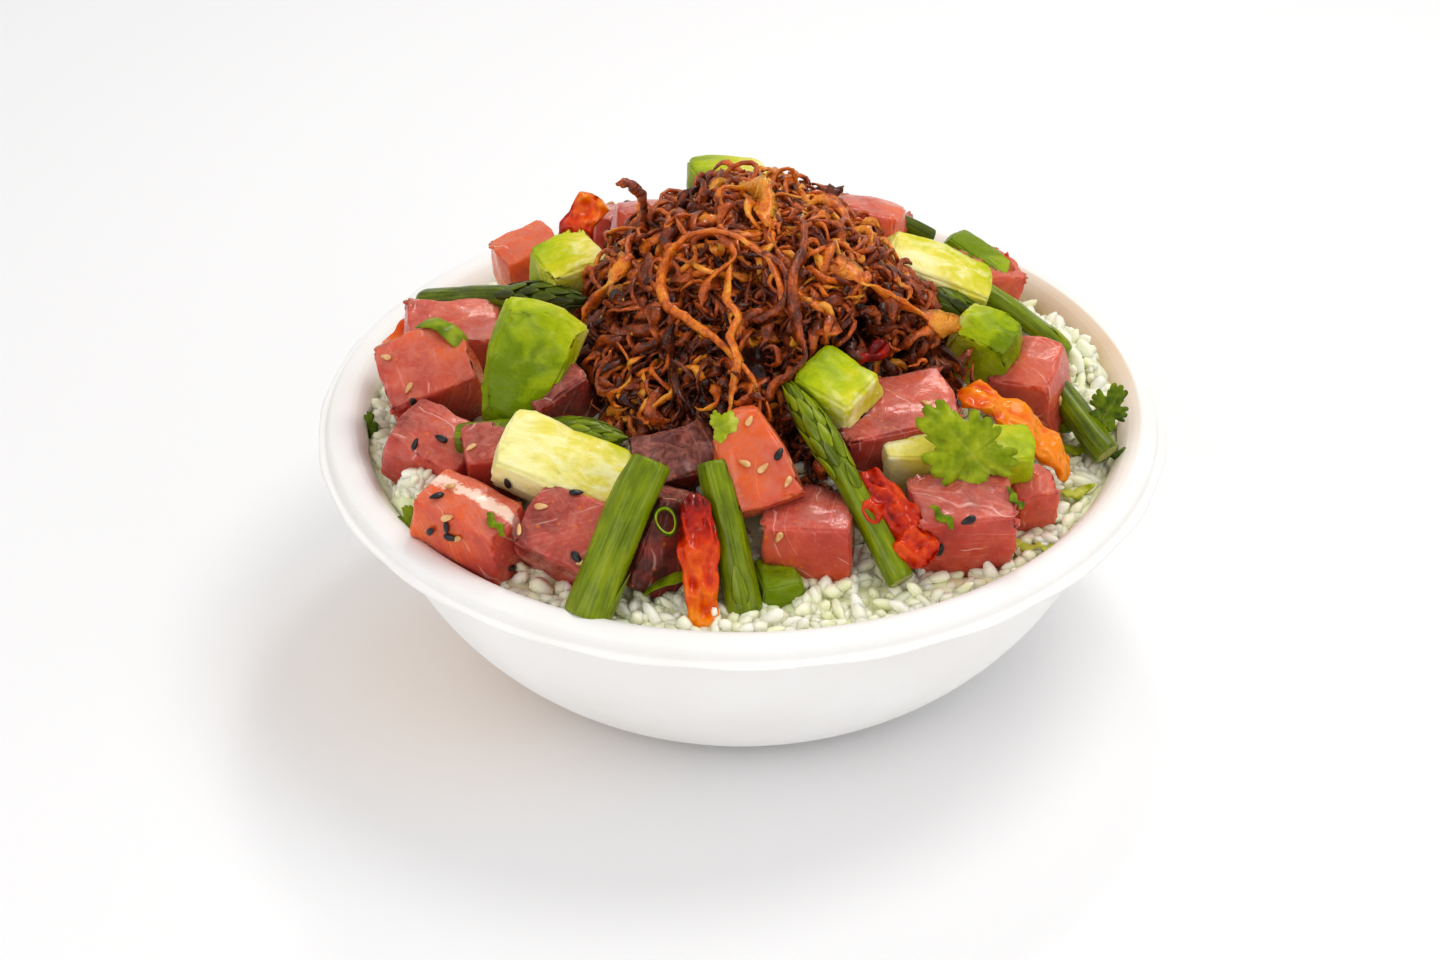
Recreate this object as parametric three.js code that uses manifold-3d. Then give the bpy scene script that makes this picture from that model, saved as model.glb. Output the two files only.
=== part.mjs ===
// A tuna poke bowl: a moulded-fibre bowl of rice with a ring of tuna, avocado, asparagus, peppers
// and herbs, and a heap of crisp fried onions on top. Millimetres, +Z up. The origin is the centre
// of the bowl's flat foot, and the front of the bowl faces -Y.
import * as THREE from "three";
import { mergeVertices } from "three/addons/utils/BufferGeometryUtils.js";
import Module from "manifold-3d";

const wasm = await Module();
wasm.setup();

// ---- Driving dimensions ----

// Clear gaps: between a piece and what is cut to fit round it, and between the rice and the bowl.
const CUT_GAP = 0.45;
const WALL_GAP = 0.42;

// The bowl's wall is a superellipse between foot and shoulder, under a rolled rim.
const BOWL = {
  height: 63,
  footRadius: 43.8,
  shoulderRadius: 90.4,
  shoulderHeight: 59.9,
  fullness: 1.69,
  wall: 1.6,
  wallSteps: 5,
  lipRadius: 93,
  segments: 36,
};

// The rolled rim, from the inside over the lip to the flange and back: how far each corner is
// outside the lip, and how far below the bowl's top.
const RIM = [
  [-1.8, 0.7],
  [0, 0],
  [4, 0.7],
  [5.1, 2],
  [5.2, 3.4],
  [7.2, 3.7],
  [7.2, 4.6],
  [3.8, 4.6],
  [3.4, 2.1],
  [-0.6, 1.9],
];

// The rice fills the bowl nearly to its rim and is heaped in the middle, under the toppings.
const RICE = { edgeHeight: 56, heap: 19, heapRadius: 56, heapSlope: 5.5, segments: 20 };
const RICE_UNEVEN = { depth: 1, stretch: 2, seed: 3 };
const RICE_RINGS = [0.87, 0.76, 0.66, 0.56, 0.44, 0];
const RICE_LUMPS = [
  { at: [70, 15], rise: 11, spread: 12 },
  { at: [-72, -43], rise: 6, spread: 5 },
];
const GRAIN = { length: 6.4, width: 4, rise: 1.2, spacing: 5.4, innerRadius: 66, count: 36, tries: 3000 };

// The onion heap: a solid core with curly strands round it. The core lies a sink below the heap's
// height, and the strands dip into it.
const ONION = { centre: [4, 3], radius: [49, 53], root: 58, base: 65, top: 112, sink: 2, segments: 14 };
const ONION_UNEVEN = { depth: 2.2, stretch: 1.5, seed: 5 };
const ONION_RINGS = [1, 0.92, 0.76, 0.56, 0.32, 0];
const ONION_FALL = { along: 2.2, down: 0.75 };
const STRAND = { width: 3, thickness: 1.6, lift: 2.6, dip: 3.2, stride: 5, steps: 7 };
const BENDS = { count: 7, leastCurl: 0.35, moreCurl: 0.4, perTouch: 5, footHeight: 2 };
const STRANDS = { count: 21, tries: 900, spacing: 11, leastJoint: 3, mostJoint: 16 };
const LOOP = {
  centre: [-9, -21],
  radius: [10.5, 7.5],
  start: 5.2,
  sweep: 5.6,
  turns: 9,
  leastLift: 0.5,
  moreLift: 0.3,
};
// The hook stands on its foot. Each bend is a shift to the side, and a share of the rise.
const HOOK = { foot: [-21, 6], rise: 16, bends: [[0, 0], [1.5, 0.55], [-1, 0.9], [-7, 1]] };

// ---- Toppings: where each piece lies (at), its size and its turn in degrees ----

// A hand-cut cube has full faces and rounded edges: how far out a face's middle, an edge's middle
// and a corner lie, and how much less where it is soft. It tapers upwards.
const CUBE = {
  outwards: [0, 1.04, 0.95, 0.87],
  softening: [0, 0, 0.1, 0.2],
  uneven: 0.7,
  taper: 0.1,
  taperSpread: 5.1,
};
const AVOCADO_SEED = 40;
// How much height counts against depth in the order in which the cubes are fitted.
const FITTING_SLOPE = 0.7;

const TUNA = [
  { name: "tuna_01", at: [-72, -8, 73], size: [22, 18, 20], turn: [28, -8, 20] },
  { name: "tuna_02", at: [-69, -31, 68.5], size: [23, 16, 16], turn: [20, 0, -35] },
  { name: "tuna_03", at: [-60.5, -57, 64.5], size: [25, 14, 22], turn: [12, 0, -34] },
  { name: "tuna_04", at: [-38, -63, 67], size: [20, 17, 16], turn: [34, 0, -28] },
  { name: "tuna_05", at: [-41, -23, 77.5], size: [14, 12, 18], turn: [20, -20, 30], taper: 0.1, soft: 0.4 },
  { name: "tuna_06", at: [-69, 10, 73], size: [22, 14, 17], turn: [15, 10, 10] },
  { name: "tuna_07", at: [-51, 46, 71], size: [16, 15, 22], turn: [8, -12, 25] },
  {
    name: "tuna_08",
    at: [1.5, -54, 81.5],
    size: [15, 11, 24],
    turn: [-40, -18, 0],
    taper: -0.24,
    soft: 0.3,
  },
  { name: "tuna_09", at: [14, -62, 67], size: [20, 16, 16], turn: [4, 0, -4] },
  { name: "tuna_10", at: [33.5, -36, 77], size: [27, 17, 18], turn: [12, 0, 16] },
  { name: "tuna_11", at: [47.5, -58, 66], size: [22, 16, 20], turn: [10, 0, 8] },
  { name: "tuna_12", at: [67, -10, 71.5], size: [16, 16, 20], turn: [15, -10, -20] },
  { name: "tuna_13", at: [64, -45.5, 65], size: [11, 11, 14], turn: [20, 0, 20], soft: 0.4 },
  { name: "tuna_14", at: [-17, -64, 67], size: [16, 13, 23], turn: [-20, 20, 20] },
  { name: "tuna_15", at: [-15, -46, 74], size: [18, 14, 14], turn: [20, 0, 15] },
  { name: "tuna_16", at: [-56, -42, 73], size: [12, 12, 15], turn: [10, 0, 10] },
  { name: "tuna_17", at: [57, 28, 74], size: [17, 15, 21], turn: [0, 15, 30] },
  { name: "tuna_18", at: [-21, 34, 89], size: [18, 14, 14], turn: [-15, 0, 15] },
  { name: "tuna_19", at: [30, 26, 94], size: [17, 14, 13], turn: [-15, 10, -15] },
  { name: "tuna_20", at: [-29, 60, 71], size: [22, 18, 18], turn: [-22, 0, 24] },
  { name: "tuna_21", at: [0, 64, 71], size: [21, 18, 18], turn: [-28, 8, -10] },
  { name: "tuna_22", at: [30, 61, 69], size: [24, 17, 18], turn: [-24, 0, -30] },
];

const AVOCADO = [
  {
    name: "avocado_01",
    at: [-49, -23, 86.5],
    size: [18, 10, 31],
    turn: [-32, 22, 0],
    taper: 0.26,
    soft: 1,
  },
  { name: "avocado_02", at: [-41, 19, 84], size: [15, 14, 21], turn: [10, 0, 30], soft: 0.4 },
  { name: "avocado_03", at: [-41, -50, 77], size: [28, 16, 13], turn: [30, 14, -18] },
  { name: "avocado_04", at: [21, -36, 87], size: [16, 14, 16], turn: [25, 0, -38] },
  { name: "avocado_05", at: [56, -7.5, 81.2], size: [16, 13, 18.5], turn: [22, 5, -25], soft: 0.5 },
  { name: "avocado_06", at: [45, 10, 90], size: [28, 12, 13], turn: [25, 22, -10] },
  { name: "avocado_07", at: [-3, 36, 99], size: [18, 14, 14], turn: [-10, 5, 10] },
  { name: "avocado_08", at: [47.5, -43.5, 74], size: [33, 11, 15], turn: [15, 2, 0] },
  { name: "avocado_09", at: [57, 31, 81], size: [18, 10, 9], turn: [0, 25, -30] },
  { name: "avocado_10", at: [7, -69.5, 58.5], size: [10, 12, 11], turn: [10, 0, 15] },
];

// Outline of a spear: shares of its length and of its radius.
const STALK = [[0, 0], [0, 1.02], [0.35, 0.97]];
const BUD = [[0.62, 1], [0.66, 1.28], [0.76, 1.02], [0.79, 1.15], [0.91, 0.7], [1, 0]];
const CUT_END = [[0.7, 0.94], [1, 0.88], [1, 0]];
const SPEAR = { thickRadius: 3.5, thickSides: 8, thinSides: 6 };

// Spears run from the cut end to the tip. A bow lifts the middle.
const ASPARAGUS = [
  { name: "asparagus_01", from: [-34.5, -83, 60], to: [-20, -62, 87], radius: 5, tip: false, bow: 1 },
  { name: "asparagus_02", from: [0, -79, 58], to: [-7, -57, 83], radius: 3.9, tip: false, bow: 1 },
  { name: "asparagus_03", from: [34, -73.5, 62.5], to: [9, -38.5, 92.5], radius: 3, tip: true, bow: 2 },
  { name: "asparagus_04", from: [-64, -36, 76], to: [-26, -44, 81], radius: 3.4, tip: true, bow: 1 },
  { name: "asparagus_05", from: [-77, 30, 72], to: [-36, 4, 88], radius: 3.4, tip: true, bow: 1 },
  { name: "asparagus_06", from: [66, -4, 78], to: [40, 6, 91], radius: 3.6, tip: true, bow: 0 },
  { name: "asparagus_07", from: [77, 8, 69], to: [55, 18, 83], radius: 3.2, tip: false, bow: 1 },
  { name: "asparagus_08", from: [46, 28, 90], to: [26, 30, 98], radius: 2.4, tip: true, bow: 1 },
  { name: "asparagus_09", from: [84, -25, 63], to: [72, -9, 73], radius: 3.4, tip: false, bow: 0 },
  { name: "asparagus_10", from: [-56, 57, 63], to: [-14, 52, 84], radius: 3.6, tip: true, bow: 1 },
];

// Flat strips are narrower at their ends, a little wavy along their edges, and crinkled.
const STRIP = {
  step: 3.5,
  leastSteps: 4,
  narrowing: 0.35,
  narrowingSlope: 3,
  waviness: 0.12,
  waves: 9,
  ripple: 2.2,
  slant: 3,
  dish: 2,
};
const CRINKLE = { pepper: 0.7, herb: 0.1 };

// Roasted pepper strips run between two ends. They are flat, folded and crinkled.
const PEPPERS = [
  { name: "pepper_01", from: [-9, -83, 56], to: [-11, -66, 81], width: 8, thickness: 3, bow: 1 },
  {
    name: "pepper_02",
    from: [40.5, -70.8, 65.3],
    to: [24.3, -56.6, 79],
    width: 10.5,
    thickness: 3.4,
    bow: 1,
    roll: -32,
  },
  { name: "pepper_03", from: [74, -36, 64], to: [49, -27, 82], width: 10, thickness: 3.4, bow: 3 },
  {
    name: "pepper_04",
    from: [-40.9, 38, 83.2],
    to: [-34.4, 43, 94],
    width: 9,
    thickness: 3,
    bow: 3,
    roll: 30,
  },
  { name: "pepper_05", from: [24, -30, 91], to: [33, -26, 93], width: 4, thickness: 2.4, bow: 0 },
  { name: "pepper_06", from: [14, 27, 100], to: [24, 24, 101], width: 4, thickness: 2.2, bow: 1 },
  { name: "pepper_07", from: [-85, 10, 71], to: [-74, 14, 77], width: 5, thickness: 2.6, bow: 1 },
];

// A leaf is longer at its tip than at its stalk, and its notches are narrower than its lobes.
const LEAF = {
  thickness: 0.7,
  pointsPerLobe: 5,
  fan: 0.2,
  notch: 2,
  wave: 0.06,
  waveAlong: 5,
  waveAcross: 4,
};

// Leaves and green scraps: flat lobed outlines that face along their turned Z.
const HERBS = [
  {
    name: "herb_leaf_01",
    at: [50.1, -52.7, 81.5],
    size: [22, 19],
    turn: [52, 6, 135],
    lobes: 5,
    depth: 0.32,
  },
  { name: "herb_leaf_02", at: [-5, -52.4, 89.2], size: [6, 8], turn: [50, 0, 20], lobes: 3, depth: 0.4 },
  {
    name: "herb_leaf_03",
    at: [84.3, -17.5, 70],
    size: [10, 10],
    turn: [60, 10, 60],
    lobes: 5,
    depth: 0.45,
  },
  { name: "herb_leaf_04", at: [-75, -49, 60], size: [8, 11], turn: [60, -40, 20], lobes: 5, depth: 0.4 },
  { name: "herb_leaf_05", at: [-88, -5, 59], size: [6, 8], turn: [70, -50, 0], lobes: 5, depth: 0.4 },
];
const BLADES = [
  { name: "herb_stem_01", from: [-75.5, 0, 84], to: [-64, -9, 83], width: 5, thickness: 0.9, bow: 3 },
  { name: "herb_stem_02", from: [-22, -74, 60], to: [-12, -76, 66], width: 4, thickness: 1, bow: 1 },
];
const SCALLION = { name: "scallion_ring", at: [-17, -71, 77], turn: [50, 0, 20] };
const RING = { radius: 3.4, wall: 0.9, length: 4, flatness: 0.7, segments: 10 };

// Sesame seeds and green scraps lie on the pieces, half sunk. Each is given by its direction from
// the middle of its piece's box, as azimuth and elevation in degrees.
const SEED = { length: 3.3, width: 2.1, thickness: 1.5 };
const SEEDS = [
  { on: "tuna_01", towards: [[-105, 15], [-170, 40], [-113, 27]] },
  { on: "tuna_02", towards: [[-120, 40], [-80, 50]] },
  { on: "tuna_03", towards: [[-160, 55], [-150, 20], [-120, 35], [-115, 25], [-175, 70], [-120, 45]] },
  { on: "tuna_04", towards: [[55, 75], [-80, 10], [-170, 55], [-155, 25]] },
  { on: "tuna_08", towards: [[-35, 45], [-130, 35], [-80, 30], [-50, 5]] },
  { on: "tuna_10", towards: [[-5, 30], [-10, 50]] },
  { on: "tuna_11", towards: [[-85, 40], [-120, 0]] },
  { on: "tuna_12", towards: [[-50, 5]] },
  { on: "tuna_16", towards: [[-140, 50]] },
  { on: "avocado_03", towards: [[-155, 0]] },
  { on: "tuna_20", towards: [[80, 55], [110, 20]] },
  { on: "tuna_21", towards: [[70, 40], [100, 60]] },
  { on: "tuna_22", towards: [[80, 30]] },
];
const SCRAP = { length: 7, width: 3.6, thickness: 1.6 };
const SCRAPS = [
  { on: "tuna_03", towards: [[-60, 35]] },
  { on: "tuna_11", towards: [[-120, 40], [-10, 35]] },
];
const LOZENGE_TURN = 2.4;
// Green scraps on the rice: where each lies.
const RICE_SCRAPS = { at: [[66, -54], [76, -34]], rise: 0.9 };

// ---- Colours and finishes ----

const FINISH = {
  bowl: { color: 0xf4f1ec, roughness: 0.75 },
  rice: { color: 0xdfe4d3, roughness: 0.5 },
  tuna: { color: 0xb4525a, roughness: 0.3 },
  avocado: { color: 0xa9c23c, roughness: 0.5 },
  asparagus: { color: 0x5f8a1e, roughness: 0.4 },
  pepper: { color: 0xd9541a, roughness: 0.3 },
  herb: { color: 0x5c8c22, roughness: 0.5 },
  onion: { color: 0x7a3a14, roughness: 0.5 },
};

function finish(kind) {
  return new THREE.MeshStandardMaterial({ ...FINISH[kind], metalness: 0 });
}

// ---- Solids ----

const radians = THREE.MathUtils.degToRad;
const MERGE_DISTANCE = 1e-4;

// A closed geometry as a manifold-3d solid.
function solidOf(geometry) {
  const bare = new THREE.BufferGeometry();
  bare.setAttribute("position", geometry.getAttribute("position").clone());
  bare.setIndex(geometry.index);
  const merged = mergeVertices(bare, MERGE_DISTANCE);
  const index = merged.index.array;
  const kept = [];
  for (let i = 0; i < index.length; i += 3) {
    const [a, b, c] = index.slice(i, i + 3);
    if (a !== b && b !== c && c !== a) {
      kept.push(a, b, c);
    }
  }
  const mesh = new wasm.Mesh({
    numProp: 3,
    vertProperties: new Float32Array(merged.attributes.position.array),
    triVerts: new Uint32Array(kept),
  });
  return new wasm.Manifold(mesh);
}

function geometryOf(solid) {
  const mesh = solid.getMesh();
  const geometry = new THREE.BufferGeometry();
  geometry.setAttribute("position", new THREE.BufferAttribute(new Float32Array(mesh.vertProperties), 3));
  geometry.setIndex(new THREE.BufferAttribute(new Uint32Array(mesh.triVerts), 1));
  return geometry;
}

// The same closed geometry with its skin moved outwards by the gap of a cut.
function grown(geometry) {
  const bare = new THREE.BufferGeometry();
  bare.setAttribute("position", geometry.getAttribute("position").clone());
  bare.setIndex(geometry.index);
  const merged = mergeVertices(bare, MERGE_DISTANCE);
  merged.computeVertexNormals();
  const position = merged.attributes.position;
  const normal = merged.attributes.normal;
  for (let i = 0; i < position.count; i++) {
    position.setXYZ(
      i,
      position.getX(i) + normal.getX(i) * CUT_GAP,
      position.getY(i) + normal.getY(i) * CUT_GAP,
      position.getZ(i) + normal.getZ(i) * CUT_GAP,
    );
  }
  return merged;
}

function boxesMeet(a, b) {
  const first = a.boundingBox();
  const second = b.boundingBox();
  return [0, 1, 2].every((k) => first.min[k] < second.max[k] && second.min[k] < first.max[k]);
}

// The largest body of a solid, so that a cut leaves no loose scrap.
function largestBody(solid) {
  const bodies = solid.decompose();
  bodies.sort((a, b) => b.volume() - a.volume());
  return bodies[0];
}

function cutBy(solid, cutters) {
  let left = solid;
  for (const cutter of cutters) {
    if (boxesMeet(left, cutter)) {
      left = left.subtract(cutter);
    }
  }
  return largestBody(left);
}

function crosses(solid, others) {
  return others.some((other) => boxesMeet(solid, other) && solid.intersect(other).volume() > 0);
}

// ---- Uneven shapes ----

// The waves that make up the unevenness of all shapes, in radians a millimetre.
const WAVES = [
  { x: 0.31, y: 0.17, z: 0, seed: 1.7 },
  { x: 0, y: 0.37, z: -0.23, seed: 2.9 },
  { x: 0.21, y: 0, z: 0.29, seed: -0.7 },
];

// A smooth value between -1 and 1 that changes over a few millimetres.
function unevenness(x, y, z, seed) {
  const heights = WAVES.map((wave) => Math.sin(x * wave.x + y * wave.y + z * wave.z + seed * wave.seed));
  return heights.reduce((total, height) => total + height) / WAVES.length;
}

// A repeatable random number between 0 and 1, from a linear congruential generator.
const GENERATOR = { factor: 1664525, increment: 1013904223, modulus: 4294967296 };

function randomFrom(seed) {
  let state = seed;
  return () => {
    state = (state * GENERATOR.factor + GENERATOR.increment) % GENERATOR.modulus;
    return state / GENERATOR.modulus;
  };
}

// Moves every vertex of a geometry to where the rule puts it.
function reshape(geometry, rule) {
  const position = geometry.attributes.position;
  const point = new THREE.Vector3();
  for (let i = 0; i < position.count; i++) {
    point.fromBufferAttribute(position, i);
    rule(point);
    position.setXYZ(i, point.x, point.y, point.z);
  }
  return geometry;
}

// A hand-cut cube: two divisions a side, edges and corners rounded off, faces full and uneven.
function cubeGeometry(cube, seed) {
  const [length, depth, height] = cube.size;
  const taper = cube.taper ?? CUBE.taper * Math.sin(seed * CUBE.taperSpread);
  const soft = cube.soft ?? 0;
  return reshape(new THREE.BoxGeometry(1, 1, 1, 2, 2, 2), (p) => {
    const outer = [p.x, p.y, p.z].filter((value) => value !== 0).length;
    const outwards = CUBE.outwards[outer] - soft * CUBE.softening[outer];
    const narrowing = outwards * (1 + taper * p.z * 2);
    p.set(p.x * length * narrowing, p.y * depth * narrowing, p.z * height * outwards);
    p.multiplyScalar(1 + (CUBE.uneven * unevenness(p.x, p.y, p.z, seed)) / p.length());
  });
}

// A spear along +X: a ribbed stalk, and for a tip a swollen bud with overlapping scales.
function spearGeometry({ length, radius, tip, bow }) {
  const sides = radius > SPEAR.thickRadius ? SPEAR.thickSides : SPEAR.thinSides;
  const shape = [...STALK, ...(tip ? BUD : CUT_END)];
  const profile = shape.map(([along, across]) => new THREE.Vector2(across * radius, along * length));
  const lathe = new THREE.LatheGeometry(profile, sides).rotateZ(-Math.PI / 2);
  return reshape(lathe, (p) => {
    const along = p.x / length;
    p.z += 4 * bow * along * (1 - along);
  });
}

// A flat strip along +X with crinkled faces and a bow.
function stripGeometry({ length, width, thickness, bow, crinkle, seed }) {
  const steps = Math.max(STRIP.leastSteps, Math.round(length / STRIP.step));
  return reshape(new THREE.BoxGeometry(length, width, thickness, steps, 2, 1), (p) => {
    const along = p.x / length + 0.5;
    const narrowing = 1 - STRIP.narrowing * Math.abs(2 * along - 1) ** STRIP.narrowingSlope;
    const wave = 1 + STRIP.waviness * Math.sin(along * STRIP.waves + seed);
    const ripple = Math.sin(along * steps * STRIP.ripple + seed + (p.y / width) * STRIP.slant);
    p.y = p.y * narrowing * wave;
    p.z += crinkle * (ripple + Math.abs(p.y / width) * STRIP.dish) + 4 * bow * along * (1 - along);
    p.x += length / 2;
  });
}

// A thin wavy leaf in the XY plane with rounded lobes round its edge.
function leafGeometry({ size: [length, width], lobes, depth }) {
  const count = lobes * LEAF.pointsPerLobe;
  const outline = [];
  for (let i = 0; i < count; i++) {
    const angle = (i / count) * 2 * Math.PI;
    const notch = (0.5 - 0.5 * Math.cos(lobes * angle)) ** LEAF.notch;
    const reach = 0.5 * (1 + LEAF.fan * Math.cos(angle)) * (1 - depth * notch);
    outline.push(new THREE.Vector2(Math.cos(angle) * reach * length, Math.sin(angle) * reach * width));
  }
  const leaf = new THREE.ExtrudeGeometry(new THREE.Shape(outline), {
    depth: LEAF.thickness,
    bevelEnabled: false,
    steps: 1,
  });
  return reshape(leaf, (p) => {
    const wave = Math.sin((p.x / length) * LEAF.waveAlong) * Math.cos((p.y / width) * LEAF.waveAcross);
    p.z += LEAF.wave * length * wave;
  });
}

// A slice of scallion: a short open tube along +Z, pressed flat along X.
function ringGeometry({ radius, wall, length, flatness, segments }) {
  const section = [
    [radius - wall, 0],
    [radius, 0],
    [radius, length],
    [radius - wall, length],
    [radius - wall, 0],
  ].map(([across, along]) => new THREE.Vector2(across, along));
  return new THREE.LatheGeometry(section, segments).rotateX(Math.PI / 2).scale(flatness, 1, 1);
}

// A grain of rice: a small ellipsoid along +X.
function grainGeometry(length, width) {
  return new THREE.IcosahedronGeometry(0.5, 0).scale(length, width, width);
}

// A seed or scrap: a small flat lozenge along +X.
function lozengeGeometry({ length, width, thickness }) {
  return new THREE.OctahedronGeometry(0.5, 0).scale(length, width, thickness);
}

// ---- Placing ----

function placed(name, kind, geometry, at, turn) {
  const mesh = new THREE.Mesh(geometry, finish(kind));
  mesh.name = name;
  mesh.position.set(...at);
  mesh.rotation.set(...turn.map(radians));
  mesh.updateMatrix();
  return mesh;
}

// Lays a piece that is built along +X from one point to another, rolled about its own length.
function laidAlong(name, kind, geometry, { from, to, roll = 0 }) {
  const start = new THREE.Vector3(...from);
  const direction = new THREE.Vector3(...to).sub(start).normalize();
  const side = new THREE.Vector3(0, 0, 1).cross(direction).normalize();
  const up = direction.clone().cross(side);
  const mesh = new THREE.Mesh(geometry, finish(kind));
  mesh.name = name;
  mesh.position.copy(start);
  mesh.rotation.setFromRotationMatrix(new THREE.Matrix4().makeBasis(direction, side, up));
  mesh.rotateX(radians(roll));
  mesh.updateMatrix();
  return mesh;
}

function worldGeometry(mesh) {
  return mesh.geometry.clone().applyMatrix4(mesh.matrix);
}

function setWorldSolid(mesh, solid) {
  mesh.geometry = geometryOf(solid).applyMatrix4(mesh.matrix.clone().invert());
}

function lengthBetween(from, to) {
  return new THREE.Vector3(...from).distanceTo(new THREE.Vector3(...to));
}

// ---- The bowl ----

// Radius and height of the wall at a share of the way from shoulder (0) to foot (1).
function wallPoint(share, inset) {
  const angle = (share * Math.PI) / 2;
  const foot = BOWL.footRadius - inset;
  const shoulder = BOWL.shoulderRadius - inset;
  const exponent = 2 / BOWL.fullness;
  const drop = BOWL.shoulderHeight - inset;
  return new THREE.Vector2(
    foot + (shoulder - foot) * Math.cos(angle) ** exponent,
    BOWL.shoulderHeight - drop * Math.sin(angle) ** exponent,
  );
}

function wallPoints(inset, steps) {
  return Array.from({ length: steps + 1 }, (_, i) => wallPoint(i / steps, inset));
}

function bowlGeometry() {
  const rim = RIM.map(([out, below]) => new THREE.Vector2(BOWL.lipRadius + out, BOWL.height - below));
  const inside = wallPoints(BOWL.wall, BOWL.wallSteps).reverse();
  const outside = wallPoints(0, BOWL.wallSteps);
  const axisTop = new THREE.Vector2(0, BOWL.wall);
  const axisFoot = new THREE.Vector2(0, 0);
  const profile = [axisTop, ...inside, ...rim, ...outside, axisFoot].reverse();
  return new THREE.LatheGeometry(profile, BOWL.segments).rotateX(Math.PI / 2);
}

// ---- The rice ----

// The bowl's inner wall up to the rice's edge, drawn in by the gap.
function riceWall() {
  const wall = wallPoints(BOWL.wall + WALL_GAP, BOWL.wallSteps);
  const first = wall.findIndex((point) => point.y < RICE.edgeHeight);
  const above = wall[first - 1];
  const below = wall[first];
  const share = (RICE.edgeHeight - below.y) / (above.y - below.y);
  return [below.clone().lerp(above, share), ...wall.slice(first)];
}

const riceEdge = riceWall()[0].x;

// Height of the rice at a place in the bowl.
function riceHeight(x, y) {
  const outwards = (Math.hypot(x, y) - RICE.heapRadius) / RICE.heapSlope;
  const lumps = RICE_LUMPS.map(({ at, rise, spread }) => {
    return rise * Math.exp(-((x - at[0]) ** 2 + (y - at[1]) ** 2) / (2 * spread ** 2));
  });
  return RICE.edgeHeight + RICE.heap / (1 + Math.exp(outwards)) + Math.max(...lumps);
}

function riceCoreGeometry() {
  const wall = riceWall();
  const floor = new THREE.Vector2(0, wall[wall.length - 1].y);
  const above = RICE.edgeHeight + 1;
  const surface = RICE_RINGS.map((share) => new THREE.Vector2(share * riceEdge, above));
  const profile = [floor, ...wall.reverse(), ...surface];
  const lathe = new THREE.LatheGeometry(profile, RICE.segments).rotateX(Math.PI / 2);
  const { depth, stretch, seed } = RICE_UNEVEN;
  return reshape(lathe, (p) => {
    if (p.z === above) {
      p.z = riceHeight(p.x, p.y) + depth * unevenness(p.x * stretch, p.y * stretch, 0, seed);
    }
  });
}

// Grains spread evenly over the rice that shows, each sunk by half and clear of the other pieces.
function riceGrains(others) {
  const random = randomFrom(11);
  const grains = [];
  const places = [];
  for (let i = 0; i < GRAIN.tries && grains.length < GRAIN.count; i++) {
    const angle = random() * 2 * Math.PI;
    const radius = GRAIN.innerRadius + random() * (riceEdge - GRAIN.width / 2 - GRAIN.innerRadius);
    const place = new THREE.Vector2(Math.cos(angle) * radius, Math.sin(angle) * radius);
    const turn = [random() - 0.5, random() - 0.5, random() * 2 * Math.PI];
    if (places.some((other) => other.distanceTo(place) < GRAIN.spacing)) {
      continue;
    }
    const grain = grainGeometry(GRAIN.length, GRAIN.width)
      .rotateY(turn[0])
      .rotateX(turn[1])
      .rotateZ(turn[2])
      .translate(place.x, place.y, riceHeight(place.x, place.y) + GRAIN.rise);
    if (!crosses(solidOf(grown(grain)), others)) {
      grains.push(solidOf(grain));
      places.push(place);
    }
  }
  return grains;
}

// ---- The onions ----

// Height of the onion mound at a place, and its lowest height outside.
function moundHeight(x, y) {
  const across = (x - ONION.centre[0]) / ONION.radius[0];
  const along = (y - ONION.centre[1]) / ONION.radius[1];
  const share = Math.min(1, Math.hypot(across, along));
  const { depth, stretch, seed } = ONION_UNEVEN;
  const fall = (1 - share ** ONION_FALL.along) ** ONION_FALL.down;
  const smooth = ONION.base + (ONION.top - ONION.base) * fall;
  return smooth + depth * unevenness(x * stretch, y * stretch, 0, seed);
}

// The place at a distance off the heap's surface, measured square to it.
function offMound(x, y, distance) {
  const height = moundHeight(x, y);
  const slopeX = moundHeight(x + 1, y) - height;
  const slopeY = moundHeight(x, y + 1) - height;
  const outwards = new THREE.Vector3(-slopeX, -slopeY, 1).setLength(distance);
  return new THREE.Vector3(x, y, height).add(outwards);
}

function moundGeometry() {
  const [centreX, centreY] = ONION.centre;
  const [radiusX, radiusY] = ONION.radius;
  const surface = ONION_RINGS.map((share) => new THREE.Vector2(share, ONION.base));
  const profile = [new THREE.Vector2(0, ONION.root), new THREE.Vector2(1, ONION.root), ...surface];
  const lathe = new THREE.LatheGeometry(profile, ONION.segments).rotateX(Math.PI / 2);
  return reshape(lathe, (p) => {
    p.x = centreX + p.x * radiusX;
    p.y = centreY + p.y * radiusY;
    p.z = p.z === ONION.root ? ONION.root : moundHeight(p.x, p.y) - ONION.sink;
  });
}

function strandGeometry(points) {
  const halfWidth = STRAND.width / 2;
  const halfThickness = STRAND.thickness / 2;
  const section = new THREE.Shape([
    new THREE.Vector2(-halfThickness, -halfWidth),
    new THREE.Vector2(halfThickness, -halfWidth),
    new THREE.Vector2(halfThickness, halfWidth),
    new THREE.Vector2(-halfThickness, halfWidth),
  ]);
  return new THREE.ExtrudeGeometry(section, {
    steps: STRAND.steps,
    bevelEnabled: false,
    extrudePath: new THREE.CatmullRomCurve3(points),
  });
}

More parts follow.
